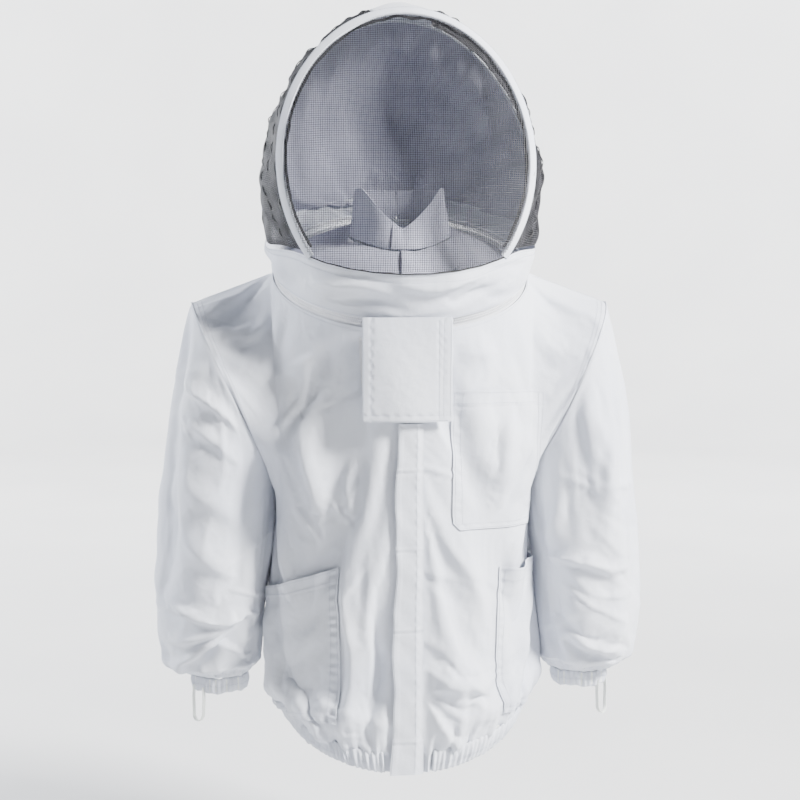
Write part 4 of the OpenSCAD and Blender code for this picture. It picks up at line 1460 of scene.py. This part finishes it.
def hood_back_cloth():
    u, v = shares(81, 57)
    p = hood_back(u, v)
    lift = soft_waves(p, 2.4, (60, 100, 150)) * sind(180 * u) * sind(180 * v)
    p = p + facing(p, HOOD_CENTRE) * lift[..., None]
    edge = np.minimum(np.minimum(u, 1 - u), np.minimum(v, 1 - v))
    hold = np.clip(0.06 + eased(1 - edge * 40), 0, 1)
    p = finer(drape([p], [hold], [np.ones_like(u)], 0.045)[0])
    sheet_piece("hood_back_cloth", p, facing(p, HOOD_CENTRE), CLOTH_T, SHADED_COTTON, "hood",
                "hood_back_panel")


hood_back_cloth()


# ---- Nets ----

VEIL_PITCH = 2.9
VEIL_THREAD, GORE_THREAD = 0.33, 0.6    # radii


def net(p, n, r, upright_keep=None, level_keep=None):
    """Threads along the columns and the rows of a grid, woven over and under each other."""
    weave = n * (0.16 * (-1.0) ** np.add(*np.indices(p.shape[:2]))[..., None])
    return joined([threads((p + weave).swapaxes(0, 1), n.swapaxes(0, 1), r, upright_keep),
                   threads(p - weave, n, r, level_keep)])


def front_net():
    """The front veil: a square net whose threads run upright and level."""
    base = grid(veil, (0, 1), (0, 1), 60, 60)
    flat = base.reshape(-1, 3)
    cells = quads(np.arange(len(flat)).reshape(base.shape[:2]))
    tree = BVHTree.FromPolygons(flat.tolist(), cells.tolist())
    low, high = flat.min(0), flat.max(0)
    x, z = np.meshgrid(*(np.arange(low[k], high[k], VEIL_PITCH) for k in (0, 2)))
    p, there = points(x, 0 * x, z), np.zeros(x.shape, bool)
    for i in np.ndindex(x.shape):
        hit = tree.ray_cast(Vector((x[i], -500, z[i])), Vector((0, 1, 0)))[0]
        there[i] = hit is not None
        p[i][1] = hit[1] if hit else tree.find_nearest(Vector((x[i], -140, z[i])))[0][1]
    p[..., 1] += 0.7 * sind(x * 3.3 + 50 * sind(z * 2.1)) + 0.5 * sind(z * 4.1 + x)
    p[..., 0] += 0.35 * sind(z * 5.1 + x * 2)
    p[..., 2] += 0.35 * sind(x * 4.3 + z * 3)
    verts, faces = net(p, facing(p, HOOD_CENTRE), VEIL_THREAD, (there[1:] & there[:-1]).T,
                       there[:, 1:] & there[:, :-1])
    new_piece("veil_front_net", verts, faces, NET, "hood", "veil_front")


front_net()


def gore_surface(way):
    """A draped side of the hood: the net's gathers and slack, as fine as its threads."""
    u, v = shares(74, 150)
    p = gore(u, v) * [way, 1, 1]
    away = v * 330
    swell = sind(180 * u)
    lift = 1.7 * sind(away * 4.4 + 60 * sind(u * 200) + 30 * way) * swell
    lift = lift + 1.2 * sind(away * 11 + u * 300) * swell + soft_waves(p, 1.5, (50, 90)) * swell
    return p + facing(p, HOOD_CENTRE) * ((lift - 1.5 * swell) * np.clip(v * 6, 0, 1))[..., None]


def ribbon(path, out, width, thick):
    return tube_mesh(sweep(path, out, flat_section(width, thick)))


CRINKLE = 2.2


def crinkled(p, n, a, b):
    """A crumpled line on a grid, between two places, and the normals along it."""
    t = np.linspace(0, 1, 150)
    wander = 0.008 * CRINKLE * (sind(t * 2300) + 0.7 * sind(t * 3900 + 70 * sind(t * 900)))
    a, b = lerp(a[0], a[1], t) + wander, lerp(b[0], b[1], t)
    up = sample(n, a, b)
    line = sample(p, a, b) + up * (0.8 + CRINKLE * 0.6 * sind(t * 3100)[:, None])
    return line, up + 0.8 * np.cross(np.gradient(line, axis=0), up) * sind(t * 1900)[:, None] / 3


GORE_SEAMS = [                          # across, down, width
    ((0.05, 0.04), (0.0, 0.98), 5.0),
    ((0.93, 0.95), (0.02, 0.98), 3.0),
    ((0.04, 0.96), (0.02, 0.03), 4.0),
    ((0.30, 0.62), (0.01, 0.55), 3.0),
    ((0.62, 0.30), (0.55, 0.97), 3.0),
    ((0.12, 0.34), (0.18, 0.74), 2.6),
    ((0.075, 0.075), (0.0, 0.99), 7.0),
]


def gore_net(side, way):
    p = gore_surface(way)
    n = facing(p, HOOD_CENTRE)
    verts, faces = net(p, n, GORE_THREAD)
    new_piece(f"veil_side_net_{side}", verts, faces, NET, "hood", f"veil_side_{side}")
    verts, faces = joined([ribbon(*crinkled(p, n, a, b), width, 0.9)
                           for a, b, width in GORE_SEAMS])
    new_piece(f"veil_side_seams_{side}", verts, faces, NET_EDGE, "hood")


for side, way in SIDES:
    gore_net(side, way)


def veil_binding():
    """The black edge of the net, just inside the front hoop and along the band."""
    a = np.linspace(-FRONT_END + 1, FRONT_END - 1, 420)
    p = front_hoop(a)
    inward = unit(points(0, 0, 120) - p * [1, 0, 1])
    heavy = 0.6 + 0.4 * sind(a * 1.3 + 60)
    wander = 1.1 * sind(a * 17 + 60 * sind(a * 5)) + 0.7 * sind(a * 31)
    p = p + inward * (7.4 + wander * heavy)[:, None] + points(0, -1.2 + 0.8 * sind(a * 23), 0)
    edge = ribbon(p, inward * 0.4 + points(0, -1.0, 0.5 * sind(a * 13)), 4.2, 1.0)
    turn = np.linspace(-FOOT_A + 1, FOOT_A - 1, 220)
    low = band_top(turn, 1.2 + 0.3 * sind(turn * 31)) + points(0, -0.4, 0)
    hem = ribbon(low, points(sind(turn), -cosd(turn), 0), 2.0, 1.4)
    verts, faces = joined([edge, hem])
    new_piece("veil_front_binding", verts, faces, NET_EDGE, "hood")


veil_binding()


# ---- Sewing ----

for body_name, rows in SEWN.items():
    verts, faces = joined(rows)
    new_piece(f"stitches_{body_name}", verts, faces, SHADED_THREAD, body_name)


# ---- Floor, light and camera ----

FLOOR_Z, WALL_R, WALL_TOP, BEND = -950.0, 7000.0, 3200, 1500.0


def studio():
    """A round floor that bends up into a wall."""
    mat, tree, bsdf = shader("pale_paper", (0.66, 0.67, 0.68), 0.9)
    mottled(tree, bsdf, (0.65, 0.655, 0.665), (0.68, 0.685, 0.69), 2)
    turn = np.radians(np.linspace(0, 90, 13))
    r = np.r_[0.5, WALL_R - BEND + BEND * np.sin(turn), WALL_R]
    z = np.r_[FLOOR_Z, FLOOR_Z + BEND * (1 - np.cos(turn)), WALL_TOP]
    around = np.radians(np.arange(0, 360, 5))
    rings = points(r[:, None] * np.cos(around), r[:, None] * np.sin(around), z[:, None])
    verts, faces = tube_mesh(rings)
    mesh = make_mesh("studio", verts, faces[:2])
    mesh.materials.append(mat)
    linked("studio", mesh)


def aim(obj, at, target):
    obj.location = at
    obj.rotation_euler = (Vector(target) - obj.location).to_track_quat("-Z", "Y").to_euler()


LIGHTS = [                              # name, place, target, size, watts, colour
    ("key", (2.0, -1.25, 1.35), (0, 0, -0.25), 0.6, 400, (1, 0.99, 0.97)),
    ("back", (-2.3, 0.55, 0.9), (0, 0, -0.2), 0.5, 120, (0.92, 0.95, 1)),
    ("wall_left", (-3.0, 2.5, 2.5), (-1.0, 7.0, 0.3), 2.0, 640, (1, 1, 1)),
    ("wall_right", (3.0, 2.5, 2.5), (1.0, 7.0, 0.3), 2.0, 640, (1, 1, 1)),
]
CAMERA_AWAY, CAMERA_AZIMUTH, CAMERA_Z, CAMERA_ANGLE = 2.16, math.radians(4.0), 0.03, 29.1
CAMERA_TARGET = (0, 0, -0.185)


def camera():
    data = bpy.data.cameras.new("camera")
    data.lens_unit, data.angle = "FOV", math.radians(CAMERA_ANGLE)
    obj = linked("camera", data)
    aim(obj, (-CAMERA_AWAY * math.sin(CAMERA_AZIMUTH), -CAMERA_AWAY * math.cos(CAMERA_AZIMUTH),
              CAMERA_Z), CAMERA_TARGET)
    bpy.context.scene.camera = obj


studio()
for name, at, target, size, watts, colour in LIGHTS:
    data = bpy.data.lights.new(name, "AREA")
    data.size, data.energy, data.color = size, watts, colour
    aim(linked(name, data), at, target)
world = bpy.data.worlds.new("studio")
bpy.context.scene.world = world
world.use_nodes = True
sky = world.node_tree.nodes["Background"].inputs
sky["Color"].default_value, sky["Strength"].default_value = (0.80, 0.86, 1, 1), 0.05
camera()
